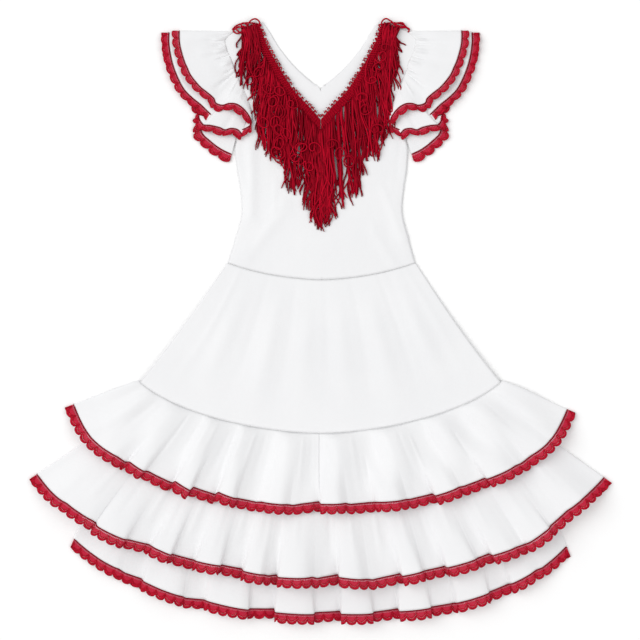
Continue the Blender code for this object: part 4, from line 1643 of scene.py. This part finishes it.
@dataclass(frozen=True)
class Sleeve:
    """A gathered sleeve frill folded over the shoulder, with lace on its hem.

    A row is the gather's across and depth, the hem's across and depth, the height half way and at the hem. A
    gather is its place in nodes round the ring, half width in nodes, height, and length as a share.
    """

    name: str
    front: tuple
    back: tuple
    gathers: tuple
    flat: tuple[float, float]
    area: float
    widths: tuple
    sewn_height: float
    bulge: float = 1.0
    over_bodice: float = 3.4
    sunk: float = 0.85
    sunk_reach: float = 2.6
    soft_from: float = 0.32
    soft_over: float = 0.36
    fine: int = 7
    rows: int = 26
    seed: int = 21

    def ring_nodes(self) -> list[Array]:
        """Lay out the ring from the front underarm over the shoulder to the back underarm.

        Returns:
            Gather, middle and hem nodes, each as across, depth and height.
        """
        rows = np.array(self.front[::-1] + self.back)
        gather, hem, middle_height, hem_height = rows[:, 0:2], rows[:, 2:4], rows[:, 4], rows[:, 5]
        lines = (np.column_stack((gather, np.minimum(middle_height, self.sewn_height))),
                 np.column_stack(((gather + hem) / 2.0, middle_height)),
                 np.column_stack((hem, hem_height)))
        fold = len(self.front)
        bulge = np.array((0.0, self.bulge, 0.0))
        return [np.insert(line, fold, (line[fold - 1] + line[fold]) / 2.0 - bulge, axis=0) for line in lines]

    def surface(self) -> Array:
        """Shape the sleeve on the +X side.

        Returns:
            Across, depth and height of its points, column by column.
        """
        gather, middle, hem = self.ring_nodes()
        at = np.linspace(0.0, len(hem) - 1.0, (len(hem) - 1) * self.fine + 1)
        gather, middle, hem = catmull(gather, at), catmull(middle, at), catmull(hem, at)
        gather[:, :2] += unit(gather[:, :2] - hem[:, :2]) * self.over_bodice
        share = np.linspace(0.0, 1.0, self.rows)[None, :, None]
        lower = blend(gather[:, None, :], middle[:, None, :], share * 2.0)
        upper = blend(middle[:, None, :], hem[:, None, :], share * 2.0 - 1.0)
        points = blend(lower, upper, ease((share - self.soft_from) / self.soft_over))
        points[..., 2] = points[..., 2] + self.gather_heights(at[:, None], share[..., 0])
        length = np.linalg.norm(hem - gather, axis=-1)[:, None]
        points[..., 2] -= self.sunk * np.exp(-(share[..., 0] * length / self.sunk_reach) ** 2)
        points[..., 2] = np.maximum(points[..., 2], BED)
        return points

    def gather_heights(self, at: Array, share: Array) -> Array:
        """Find the height of the ridges that run out from the gathering.

        Args:
            at: Place round the ring, in nodes.
            share: Share of the way from the gathering to the hem.

        Returns:
            The added height at each point.
        """
        total = np.zeros(np.broadcast(at, share).shape)
        for spot, half, high, length in self.gathers:
            width = half * (0.7 + 1.1 * share)
            fade = np.sin(math.pi * np.clip(share / length, 0.0, 1.0) ** 0.8) ** 1.4
            total += high * hump((at - spot) / width) * fade
        return total

    def build(self, side: Side, finishes: Finishes) -> None:
        """Make the sleeve frill and its lace on one side.

        Args:
            side: Which side.
            finishes: The dress's finishes.
        """
        points = self.surface()
        placed = place(points[..., 0] * side.value, points[..., 1], points[..., 2])
        widths = self.widths
        if side is Side.RIGHT:
            placed = placed[::-1]
            widths = tuple((1.0 - at, size) for at, size in self.widths[::-1])
        name = f"{self.name}_{side.word}"
        made = add_object(name + "_cloth", placed, grid_faces(len(placed), self.rows), finishes.crepe)
        thicken(made, CLOTH_THICKNESS)
        seat(made, "white_cloth", name)
        lace = LaceEdge(f"{self.name}_lace_band_{side.word}", f"{self.name}_lace_{side.word}", closed=False,
                        widths=widths, seed=self.seed + side.value + len(self.back))
        trims = lace.build(placed[:, -1].copy(), placed[:, -4].copy(), finishes)


def inner_sleeve() -> Sleeve:
    """The longer sleeve frill, which shows below the other one.

    Returns:
        The sleeve frill.
    """
    low = level(2)
    front = (
        (133.5, 24.6, 226.5, 24.8, low, low), (145, 36, 226.4, 40.2, low, 5.2),
        (142.5, 51, 223, 62.7, low, 4.4), (136, 66, 216.3, 84, low, 5.4), (132, 78, 205, 107, low, 4.6),
        (129, 85.5, 192, 120.8, low, 5.6), (126, 91.5, 179.5, 130.8, low, 5.2),
        (124, 96, 172.4, 137.7, low, 5), (123, 99, 154, 156, low, 3.8),
        (122.6, 100, 163, 153, low - 0.6, 3.2), (122.3, 100.6, 180.5, 146, low - 0.6, 2.8),
        (122, 101.2, 181.3, 152.5, low - 0.4, 3), (121.6, 102, 176.4, 160.6, 5, 5.6),
        (121, 103, 173.2, 162.2, 6.8, 9), (119.4, 106, 163.5, 163, 6.8, 9),
        (117, 110, 150.8, 166, 6, 8.4), (114.5, 115, 143.5, 169.2, 5, 7), (112, 121, 134.5, 167, 5, 7.6),
        (109.5, 128, 124.5, 168.6, 4.4, 6.4), (107, 138, 117.8, 176, low, 5.6),
    )
    back = tuple(row + (level(1), level(1)) for row in (
        (137.2, 25.5, 226.5, 24.8), (147.4, 36, 225.5, 42), (144.5, 50, 223.5, 60), (138.5, 72, 208, 92),
        (135.5, 95, 186, 120), (132.5, 125, 174, 146), (130.5, 148, 179, 170.5), (129.5, 164, 164.3, 187),
        (129.2, 176, 149.3, 198), (129.2, 186, 134.5, 205),
    ))
    return Sleeve("sleeve_inner", front, back, gathers=(), flat=(0.42, 0.11), area=0.0235,
                  widths=((0.0, 0.78), (0.62, 0.78), (0.8, 1.0), (1.0, 1.0)), sewn_height=2.0)


def outer_sleeve() -> Sleeve:
    """The shorter sleeve frill, gathered in deep soft ridges, which lies on the other one.

    Returns:
        The sleeve frill.
    """
    front = (
        (133.5, 22.5, 210.8, 22.5, 6.5, 6.8), (141, 29, 210.8, 31.5, 7.8, 8.8),
        (145.5, 34.5, 210, 41, 8.3, 9.8), (144.5, 42, 208, 51, 7.8, 9.3), (142.5, 51, 203.6, 66, 6.2, 7.3),
        (138.8, 58.5, 199, 76.5, 6.5, 8.6), (135, 67.5, 193, 89, 8.3, 10.8), (132, 78, 180, 105, 8.5, 11.3),
        (129.8, 84, 168, 114.5, 7.6, 9.8), (128.3, 87, 159, 122.5, 5.8, 7.5),
        (126.6, 90.5, 156.5, 129, 5.8, 6.8), (124.6, 94, 146.5, 132.5, 6.7, 8.1),
        (121.5, 100.5, 136.5, 130, 7.6, 9.8), (116.3, 111, 125.5, 131, 7.8, 10.3),
        (110.3, 124.5, 114.8, 138, 7.4, 9.3), (105.8, 135, 106.5, 149, 6.5, 7.8),
        (103.5, 147, 103.6, 158.5, 5.8, 6.5), (104, 149, 107, 163.5, 4.4, 5.8),
        (105.4, 149.6, 113.5, 167, 3.4, 5), (107.2, 149.8, 120, 169.5, 3.2, 4.2),
    )
    back = tuple(row + (BED, BED) for row in (
        (135.0, 24.0, 210.8, 22.5), (147.2, 35.5, 209.0, 45.0), (144.5, 50.0, 204.0, 68.0),
        (138.8, 70.0, 192.0, 96.0), (135.5, 95.0, 174.0, 122.0), (131.5, 135.0, 154.0, 152.0),
        (129.0, 170.0, 139.0, 178.0), (128.6, 184.0, 132.0, 187.5),
    ))
    gathers = (
        (18.75, 0.2, 1.5, 0.2), (18.2, 0.15, -2.6, 0.34), (17.7, 0.1, 1.2, 0.14), (17.2, 0.4, 3.4, 0.3),
        (16.75, 0.1, -1, 0.16), (16.2, 0.17, -3, 0.36), (15.7, 0.12, 1.4, 0.16), (15.15, 0.42, 3.4, 0.32),
        (14.6, 0.1, -1.2, 0.15), (14, 0.18, -3, 0.36), (13.5, 0.12, 1.4, 0.16), (13, 0.4, 3.2, 0.3),
        (12.5, 0.1, -1, 0.15), (12, 0.18, -2.8, 0.34), (11.5, 0.2, 1.4, 0.2), (16.9, 0.5, -1.6, 1),
        (15.3, 0.5, 1.6, 0.9), (10.9, 0.42, -2.8, 0.9), (8, 0.3, 1.2, 0.8), (6, 0.25, 1, 0.7),
    )
    return Sleeve("sleeve_outer", front, back, gathers, flat=(0.34, 0.10), area=0.0172,
                  widths=((0.0, 0.95), (0.12, 0.9), (0.24, 0.72), (1.0, 0.76)), sewn_height=2.85)


# ---- fringe


@dataclass(frozen=True)
class Coil:
    """A cord that has curled up: across, depth, radius, turns, and how far it drifts sideways as it turns."""

    across: float
    depth: float
    radius: float
    turns: float
    drift: float = 0.0


@dataclass(frozen=True)
class Tuft:
    """Cords that hang together: across and depth of their ends, their number, and how far they spread."""

    across: float
    depth: float
    count: int
    spread: float = 5.5


@dataclass(frozen=True)
class Bight:
    """A cord that hangs doubled: across and depth of its lowest point, and its width."""

    across: float
    depth: float
    width: float


@dataclass(frozen=True)
class Fringe:
    """Half the cord fringe: its knitted head along the V, its picots, tufts of cords and curls.

    The neck line and the shoulder line, from which the outermost cords hang, are across and depth. A cord
    starts at its end's across times lean. Loose is how far a cord may wander, with the share of such cords.
    """

    side: Side
    seed: int
    bodice: Bodice
    tufts: tuple[Tuft, ...]
    coils: tuple[Coil, ...]
    bights: tuple[Bight, ...] = ()
    neck: tuple = (
        (89.3, 8.5), (84.8, 19.5), (79.5, 36), (72, 51), (63, 67.5), (53.3, 84), (36.8, 109.5),
        (16.5, 130.5), (0.6, 148.5),
    )
    bed_gap: float = 0.6
    band_width: float = 15.5
    band_inset: float = 3.6
    edge_points: int = 120
    head_rows: int = 9
    braid_rows: int = 5
    braid_pitch: float = 3.4
    braid_radius: float = 0.92
    cord_radius: float = 1.08
    curl_radius: float = 0.9
    doubled_radius: float = 0.95
    reach: float = 121.0
    lean: float = 0.88
    shoulder: tuple = ((97.0, 12.0), (118.0, 19.5))
    shoulder_from: float = 96.0
    points: int = 20
    shorter: float = 17.0
    ragged: float = 8.0
    loose: tuple[float, ...] = (2.0, 5.5, 11.0)
    loose_share: tuple[float, ...] = (0.36, 0.38, 0.26)
    flick: float = 4.2
    end_sway: float = 9.0
    lead_length: tuple[float, float] = (16.0, 34.0)
    tail_length: tuple[float, float] = (12.0, 26.0)
    picot_pitch: float = 6.8
    picot_radius: float = 2.6
    picot_cord: float = 0.95
    stitch_cord: float = 0.6

    def bed(self, across: Array, depth: Array) -> Array:
        """Top of the bodice cloth under the fringe."""
        return self.bodice.front_height(across * self.side.value, depth) + self.bed_gap

    def edges(self) -> tuple[Array, Array]:
        """Lay out the band from the tip of the V up.

        Returns:
            Across and depth of its inner and of its outer edge.
        """
        neck = np.array(self.neck[::-1])
        way = np.empty_like(neck)
        way[1:-1] = neck[2:] - neck[:-2]
        way[0], way[-1] = neck[1] - neck[0], neck[-1] - neck[-2]
        outward = unit(np.stack((-way[:, 1], way[:, 0]), axis=-1))
        border = neck + outward * self.band_width
        slope = (border[1, 1] - border[0, 1]) / (border[1, 0] - border[0, 0])
        border[0] = (neck[0, 0], border[0, 1] - slope * (border[0, 0] - neck[0, 0]))
        at = np.linspace(0.0, 1.0, self.edge_points)
        inner, outer = walk(neck), walk(border)
        return along(neck, inner, at * inner[-1]), along(border, outer, at * outer[-1])

    def across_band(self, share: Values) -> Values:
        """Share of the band's width at a share of its part that the cords cover."""
        inset = self.band_inset / self.band_width
        return inset + (1.0 - inset) * share

    def lay(self, flat: Array, lift: Values) -> Array:
        """Points in the shared frame from across, depth and lift above the bodice."""
        across, depth = flat[:, 0], flat[:, 1]
        return place(across * self.side.value, depth, self.bed(across, depth) + lift)

    def head(self, finishes: Finishes) -> None:
        """Make the knitted band along the neck edge.

        Args:
            finishes: The dress's finishes.
        """
        inner, outer = self.edges()
        share = np.linspace(0.0, 1.0, self.head_rows)
        lift = 0.9 + 1.2 * np.sin(math.pi * share) ** 0.6
        columns = [self.lay(near + (far - near) * self.across_band(share)[:, None], lift)
                   for near, far in zip(inner, outer)]
        points, uv = np.array(columns), spread(walk(inner), share * self.band_width)
        if self.side is Side.RIGHT:
            points, uv = points[::-1], uv[::-1]
        made = add_object(f"fringe_{self.side.word}_head", points, grid_faces(len(points), len(share)),
                          finishes.knit, uv)
        thicken(made, BRAID_THICKNESS)
        seat(made, "crimson_cord", f"fringe_{self.side.word}")

    def braid(self, finishes: Finishes) -> None:
        """Make the rows of looped cord that cover the band.

        Args:
            finishes: The dress's finishes.
        """
        random = np.random.default_rng(self.seed + 3)
        inner, outer = self.edges()
        tubes = Tubes(sides=5)
        reach = walk(inner)
        at = np.linspace(1.0, reach[-1] - 0.5, int(reach[-1] / self.braid_pitch * 7))
        near, far = along(inner, reach, at), along(outer, reach, at)
        for row in range(self.braid_rows):
            share = (row + 0.5) / self.braid_rows
            uneven = 0.7 * wander(at / 30.0, random, 0.5, 1.5)
            phase = TURN * at / self.braid_pitch + math.pi * row + uneven
            sway = 0.085 * np.sin(phase) + 0.02 * wander(at / 14.0, random, 0.5, 1.5)
            line = near + (far - near) * (self.across_band(share) + sway)[:, None]
            line = line + unit(np.gradient(near, axis=0)) * (0.9 * np.sin(2.0 * phase))[:, None]
            swell = 1.6 + 1.1 * math.sin(math.pi * share) ** 0.6
            tone = random.uniform(0.6, 0.85)
            tubes.add(self.lay(line, swell + 0.5 * np.cos(phase)), self.braid_radius, tone)
        seat(tubes.build(f"fringe_{self.side.word}_braid", finishes.cord), "crimson_cord")

    def root(self, across: float, random: Random) -> Array:
        """Find where a cord leaves the band or the shoulder.

        Args:
            across: Across of the cord's end.
            random: Source of its unevenness.

        Returns:
            Across and depth of its start.
        """
        _, outer = self.edges()
        share = np.interp(self.lean * across, outer[:, 0], np.arange(len(outer)))
        spot = along(outer, np.arange(len(outer), dtype=float), np.array((share,)))[0]
        over = (across - self.shoulder_from) / (self.reach - self.shoulder_from)
        if over > 0.0:
            top, low = np.array(self.shoulder[0]), np.array(self.shoulder[1])
            spot = blend(top, low, min(1.0, over + random.uniform(-0.12, 0.12)))
        return spot + np.array((random.uniform(-1.0, 1.0), random.uniform(-4.0, 0.5)))

    def tuft_cords(self, tuft: Tuft, random: Random) -> list[tuple[Array, float, float]]:
        """Hang the cords of a tuft, in three layers.

        Args:
            tuft: The tuft.
            random: Source of the cords' unevenness.

        Returns:
            Centre line, radius and tone of each cord.
        """
        lines = []
        for number in range(tuft.count):
            spot = (number + 0.5) / tuft.count * 2.0 - 1.0 + random.uniform(-0.1, 0.1)
            layer = number * 2 % 3
            end = min(max(tuft.across + spot * tuft.spread * 1.5, 1.0), self.reach - 1.0)
            start = self.root(end, random)
            shorter = self.shorter * abs(spot) ** 1.6 + abs(random.normal(0.0, self.ragged))
            length = max(tuft.depth - shorter - start[1], random.uniform(16.0, 30.0))
            share = np.linspace(0.0, 1.0, self.points)
            width = np.interp(share, (0.0, 0.6, 0.8, 1.0), (1.4, 0.55, 0.6, 1.0)) * tuft.spread * spot
            axis = blend(self.lean * tuft.across, tuft.across, 1.0 - (1.0 - share) ** 1.7)
            across = blend(start[0], axis + width, ease(share / 0.5))
            loose = random.choice(self.loose, p=self.loose_share)
            across = across + loose * wander(share * length / 110.0, random, 0.7, 2.2) * share ** 0.5
            across = across + random.normal(0.0, self.flick) * ease((share - 0.7) / 0.3)
            depth = start[1] + length * share + 1.5 * wander(share, random, 0.5, 2.0) * share
            top = 1.1 + 2.2 * layer + random.uniform(0.0, 1.5)
            lift = top * np.minimum(1.0, 0.45 + share / 0.12) * (1.0 - 0.72 * share ** 3)
            lift = np.maximum(lift + 0.9 * wander(share, random, 0.8, 2.5), self.cord_radius * 0.8)
            # Painted shade: cords in lower layers get a darker tone, as if shaded by the cords above; the
            # rest of the tone differs at random.
            tone = random.uniform(0.1, 1.0) * (0.45 + 0.27 * layer)
            lines.append((self.lay(np.stack((across, depth), axis=-1), lift), self.cord_radius, tone))
        return lines

    def curl(self, coil: Coil, random: Random) -> tuple[Array, float, float]:
        """Lay one curled cord on the rest.

        Args:
            coil: The curl.
            random: Source of its start, lean and ends.

        Returns:
            Its centre line, radius and tone.
        """
        turn = np.linspace(0.0, TURN * coil.turns, int(20 * coil.turns) + 8)
        done = turn / turn[-1]
        start = random.uniform(0.0, TURN)
        radius = coil.radius * blend(1.0, 0.8, done) * (1.0 + 0.16 * wander(turn / 6.0, random, 0.5, 1.5))
        way, lean = random.choice((-1.0, 1.0)), random.uniform(0.0, math.pi)
        long_side = radius * np.cos(start + way * turn)
        short_side = 0.78 * radius * np.sin(start + way * turn)
        drift = coil.drift * (done - 0.5)
        across = coil.across + long_side * math.cos(lean) - short_side * math.sin(lean) + drift
        depth = coil.depth + long_side * math.sin(lean) + short_side * math.cos(lean)
        depth = depth + random.uniform(-0.4, 0.4) * coil.radius * (done - 0.5)
        lift = 7.6 + 1.6 * np.sin(turn * 0.5 + start) + 0.5 * turn / math.pi
        bend = random.uniform(-self.end_sway, self.end_sway)
        before, after = np.linspace(1.0, 0.0, 7, endpoint=False), np.linspace(0.0, 1.0, 8)[1:]
        aside = bend * before * (1.0 - before) - before * random.uniform(-self.end_sway, self.end_sway)
        lead = np.stack((across[0] + aside, depth[0] - before * random.uniform(*self.lead_length)), axis=-1)
        aside = bend * after * (1.0 - after) + after * random.uniform(-self.end_sway, self.end_sway)
        tail = np.stack((across[-1] + aside, depth[-1] + after * random.uniform(*self.tail_length)), axis=-1)
        flat = np.concatenate((lead, np.stack((across, depth), axis=-1), tail))
        lifts = np.concatenate((lift[0] - 5.0 * before, lift, lift[-1] - 6.0 * after))
        smooth = catmull(np.column_stack((flat, lifts)), np.linspace(0.0, len(flat) - 1.0, len(flat) * 2))
        radius = self.cord_radius * self.curl_radius
        return self.lay(smooth[:, :2], smooth[:, 2]), radius, random.uniform(0.5, 0.9)

    def doubled(self, bight: Bight, random: Random) -> tuple[Array, float, float]:
        """Hang one cord that goes down and comes back up.

        Args:
            bight: Its lowest point and width.
            random: Source of its unevenness.

        Returns:
            Its centre line, radius and tone.
        """
        half = bight.width / 2.0
        high = bight.depth - half * 0.8
        nodes = ((-0.5, -62.0, 2.0), (-0.9, -34.0, 4.5), (-1.0, -12.0, 5.2), (-0.72, 0.2 * half, 4.2),
                 (0.0, 0.8 * half, 3.2), (0.74, 0.15 * half, 4.2), (1.0, -12.0, 5.0), (0.8, -30.0, 4.0),
                 (0.5, -46.0, 2.0))
        rows = []
        for side, low, up in nodes:
            across = bight.across + side * half + random.uniform(-1.4, 1.4)
            depth = high + low + random.uniform(-1.4, 1.4)
            rows.append((across, depth, up + random.uniform(-0.6, 1.2)))
        smooth = catmull(np.array(rows), np.linspace(0.0, len(rows) - 1.0, 40))
        radius = self.cord_radius * self.doubled_radius
        return self.lay(smooth[:, :2], smooth[:, 2]), radius, random.uniform(0.35, 1.0)

    def picots(self, finishes: Finishes) -> None:
        """Make the small loops along the inner edge of the band, and the stitches beyond them.

        Args:
            finishes: The dress's finishes.
        """
        random = np.random.default_rng(self.seed + 7)
        inner, outer = self.edges()
        reach = walk(inner)
        tubes = Tubes(sides=6)
        count = int(reach[-1] / self.picot_pitch)
        bend = np.linspace(-1.0, 1.0, 9)
        for number in range(count):
            at = np.array(((number + 0.5 + random.uniform(-0.15, 0.15)) / count * reach[-1],))
            near, far = along(inner, reach, at)[0], along(outer, reach, at)[0]
            out = unit(far - near)
            side = np.array((-out[1], out[0]))
            size = self.picot_radius * random.uniform(0.75, 1.25)
            knot = near + out * (self.band_inset + 0.6)
            loop = side * (0.9 * size * bend)[:, None] - out * (1.5 * size * (1.0 - bend ** 2))[:, None]
            tubes.add(self.lay(knot + loop, 1.6), self.picot_cord, random.uniform(0.5, 0.95))
            stitch = near + out * random.uniform(0.2, 0.8) + side * 0.5 * self.picot_pitch
            flat = stitch + side * (0.75 * bend)[:, None] * random.uniform(0.6, 1.3)
            tubes.add(self.lay(flat, 0.5), self.stitch_cord, random.uniform(0.2, 0.6))
        seat(tubes.build(f"fringe_{self.side.word}_picots", finishes.cord), "crimson_cord")

    def build(self, finishes: Finishes) -> None:
        """Make the cords, and then the head with its braid and picots.

        Args:
            finishes: The dress's finishes.
        """
        random = np.random.default_rng(self.seed)
        tubes = Tubes(sides=6)
        lines = [line for tuft in self.tufts for line in self.tuft_cords(tuft, random)]
        lines += [self.curl(coil, random) for coil in self.coils]
        lines += [self.doubled(bight, random) for bight in self.bights]
        for path, radius, tone in lines:
            tubes.add(path, radius, tone)
        word = self.side.word
        seat(tubes.build(f"fringe_{word}_cords", finishes.cord), "crimson_cord", f"fringe_{word}")
        self.head(finishes)
        self.braid(finishes)
        self.picots(finishes)


def right_fringe(bodice: Bodice) -> Fringe:
    """The wearer's right half of the fringe.

    Args:
        bodice: The bodice that it lies on.

    Returns:
        The half, with its own tufts, curls and doubled cords.
    """
    tufts = (
        Tuft(1, 322, 18), Tuft(8, 316, 14), Tuft(14.5, 304, 11), Tuft(21, 292, 10), Tuft(29, 268, 10),
        Tuft(41, 271, 13), Tuft(49.5, 270, 10, 4), Tuft(54, 236, 13), Tuft(61, 219, 15), Tuft(71, 217, 17),
        Tuft(80, 213, 14), Tuft(88.5, 205, 15), Tuft(91, 172, 15), Tuft(94, 142, 12), Tuft(100, 120, 13, 7),
        Tuft(107, 110, 12), Tuft(119, 105, 15, 4), Tuft(115.5, 78, 22, 5), Tuft(99, 84, 15, 5),
    )
    coils = (
        Coil(79, 109, 9.5, 1.3, 5), Coil(61.5, 113, 8.5, 1.3, -4), Coil(70, 127, 9, 1.6, 4),
        Coil(63.5, 142, 11, 1.8, 5), Coil(86, 159, 9.5, 1.2, 6), Coil(68, 158, 9, 1.6, 4),
        Coil(64, 170, 9, 2.3, -5), Coil(62, 190, 11, 2.3, 5), Coil(66, 204, 11, 2.3, 4),
        Coil(31, 197, 8.5, 1.7, 6), Coil(11, 196, 8, 1.2, 9), Coil(36, 213, 9, 1.6, 8),
        Coil(93, 84, 8, 1.2, 5), Coil(104, 96, 8, 1.1, -6), Coil(52, 176, 8.5, 1.3, 7),
        Coil(20, 224, 8, 1.2, 6), Coil(44, 132, 7, 1.1, 5),
    )
    bights = (
        Bight(62, 220, 20), Bight(65, 217, 13), Bight(68, 213, 21), Bight(61, 211, 10), Bight(72, 206, 14),
        Bight(64, 203, 19), Bight(58, 196, 14), Bight(92, 150, 16),
    )
    return Fringe(Side.RIGHT, 31, bodice, tufts, coils, bights)


def left_fringe(bodice: Bodice) -> Fringe:
    """The wearer's left half of the fringe.

    Args:
        bodice: The bodice that it lies on.

    Returns:
        The half, with its own tufts and curls.
    """
    tufts = (
        Tuft(1, 322, 18), Tuft(8, 318, 12, 4), Tuft(16, 303, 12, 4.5), Tuft(28, 291, 11, 5),
        Tuft(40, 284, 7, 4), Tuft(50, 274, 17), Tuft(58, 246, 9, 4), Tuft(65, 222, 17), Tuft(74, 212, 13),
        Tuft(82, 223, 15), Tuft(93, 195, 17), Tuft(100, 166, 14), Tuft(103, 179, 14), Tuft(97, 140, 13),
        Tuft(105, 120, 14, 7), Tuft(114, 101, 10, 3.5), Tuft(109, 84, 14, 7), Tuft(113, 62, 20, 7),
        Tuft(98, 80, 10, 5),
    )
    coils = (
        Coil(92, 60, 8, 1.8, 3), Coil(86, 76, 8, 1.3, 7), Coil(62, 122, 8.5, 1.9, 3),
        Coil(66, 140, 9, 1.3, 8), Coil(41, 217, 9.5, 2.1, 4), Coil(28, 205, 8, 1.3, 8),
        Coil(98, 47, 7, 1.1, 5), Coil(76, 96, 7.5, 1.1, 6), Coil(14, 190, 8, 1.1, 9),
        Coil(84, 168, 8, 1.1, 8),
    )
    return Fringe(Side.LEFT, 41, bodice, tufts, coils)


@dataclass(frozen=True)
class ShoulderLoops:
    """Loose cord loops where the fringe's head ends on the shoulder.

    A line is across, depth and height, node by node. The path is the cord that both shoulders have.
    """

    side: Side
    lines: tuple
    path: tuple = (
        (132.5, 19.5, 3.3), (126.0, 13.0, 3.2), (115.5, 9.5, 3.8), (105.0, 9.0, 4.0), (98.0, 10.0, 4.0),
        (92.6, 11.0, 3.8),
    )
    radius: float = 1.2
    tone: float = 0.75
    fine: int = 12

    def build(self, finishes: Finishes) -> None:
        """Make the loops as one piece.

        Args:
            finishes: The dress's finishes.
        """
        tubes = Tubes(sides=7)
        for nodes in (self.path,) + self.lines:
            line = catmull(np.array(nodes), np.linspace(0.0, len(nodes) - 1.0, self.fine * len(nodes)))
            tubes.add(place(line[:, 0] * self.side.value, line[:, 1], line[:, 2]), self.radius, self.tone)
        name = f"shoulder_loop_{self.side.word}"
        seat(tubes.build(name + "_cords", finishes.cord), "crimson_cord", name)


def right_loops() -> ShoulderLoops:
    """The loops on the wearer's right shoulder.

    Returns:
        The loops.
    """
    return ShoulderLoops(Side.RIGHT, (
        ((91, 13, 4.2), (91, 9, 4.6), (93.5, 5.2, 5), (98, 3.2, 5.4), (103, 4.8, 5.2), (108, 10, 4.8),
         (111, 16, 4)),
        ((110, 14, 4.4), (112, 10.6, 5), (116, 9.4, 5.2), (119, 12, 4.8), (114, 15, 4.4),
         (106, 16, 4.4)),
        ((110, 16.5, 4.4), (117, 15.4, 4.8), (125, 16.4, 4.6), (130.5, 21, 3.8), (125.5, 24.6, 4),
         (119, 23, 4.2), (115, 18, 4.4), (112, 15, 4.4)),
        ((121, 14.5, 4.8), (126, 16.5, 5), (124, 21, 5), (119, 24, 4.4)),
    ))


def left_loops() -> ShoulderLoops:
    """The loops on the wearer's left shoulder.

    Returns:
        The loops.
    """
    return ShoulderLoops(Side.LEFT, (
        ((91, 13, 4.4), (91.5, 8, 5), (94.5, 4.2, 5.4), (98.5, 3, 5.6), (103, 5, 5.2), (108.5, 9, 4.8),
         (112, 14, 4.2)),
        ((106, 14, 4.4), (113, 10, 4.8), (119, 8.8, 5), (124, 10, 4.8), (126, 15, 4.6), (120, 14, 4.6),
         (112, 12, 4.4)),
        ((112, 13, 4.2), (120, 16.6, 4.6), (128, 16, 4.2), (133, 18.6, 3.6), (131, 23, 3.4)),
    ))


# ---- studio


@dataclass(frozen=True)
class Studio:
    """A pale table, soft light from the upper left, and the camera straight above. Sizes are in metres."""

    camera_height: float = 2.2
    seen_width: float = 0.96
    sensor: float = 36.0
    aim: tuple[float, float] = (-0.00075, 0.00135)
    table_half: float = 3.0
    table_low: float = -0.0004
    world: float = 0.515
    key: float = 292.0
    key_size: float = 6.0
    fill: float = 49.0
    fill_size: float = 3.0

    def lamp(self, name: str, spot: tuple[float, float, float], size: float, power: float) -> None:
        """Hang one square lamp that faces the dress.

        Args:
            name: The lamp's name.
            spot: Where it hangs.
            size: Length of its side.
            power: Its power in watts.
        """
        data = bpy.data.lights.new(name, "AREA")
        data.size = size
        data.energy = power
        made = bpy.data.objects.new(name, data)
        made.location = spot
        made.rotation_mode = "QUATERNION"
        made.rotation_quaternion = (-Vector(spot)).to_track_quat("-Z", "Y")
        bpy.context.scene.collection.objects.link(made)

    def table(self) -> None:
        """The table that the dress lies on."""
        half, low = self.table_half, self.table_low
        mesh = bpy.data.meshes.new("table")
        mesh.from_pydata([(-half, -half, low), (half, -half, low), (half, half, low), (-half, half, low)],
                         [], [(0, 1, 2, 3)])
        mesh.materials.append(TableFinish().material())
        made = bpy.data.objects.new("table", mesh)
        bpy.context.scene.collection.objects.link(made)

    def build(self) -> None:
        """Table, sky, lamps and camera."""
        self.table()
        world = bpy.data.worlds.new("studio")
        world.use_nodes = True
        sky = world.node_tree.nodes["Background"]
        sky.inputs[0].default_value = (1.0, 1.0, 1.0, 1.0)
        sky.inputs[1].default_value = self.world
        bpy.context.scene.world = world
        self.lamp("key", (-4.5, 1.0, 4.8), self.key_size, self.key)
        self.lamp("fill", (2.8, -0.6, 3.2), self.fill_size, self.fill)
        bpy.context.scene.view_settings.view_transform = "Standard"
        data = bpy.data.cameras.new("camera")
        data.sensor_width = self.sensor
        data.lens = self.sensor * self.camera_height / self.seen_width
        made = bpy.data.objects.new("camera", data)
        made.location = (*self.aim, self.camera_height)
        bpy.context.scene.collection.objects.link(made)
        bpy.context.scene.camera = made


def main() -> None:
    """Build and dress every piece in order."""
    logging.basicConfig(level=logging.INFO, format="%(message)s")
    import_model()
    Studio().build()
    finishes = Finishes()
    bodice = Bodice()
    bodice.build(finishes)
    Skirt(bodice).build(finishes)
    for frill in (upper_frill(), middle_frill(), lowest_frill()):
        frill.build(finishes)
    for sleeve in (inner_sleeve(), outer_sleeve()):
        for side in Side:
            sleeve.build(side, finishes)
    for fringe in (right_fringe(bodice), left_fringe(bodice)):
        fringe.build(finishes)
    for loops in (right_loops(), left_loops()):
        loops.build(finishes)


if __name__ == "__main__":
    main()
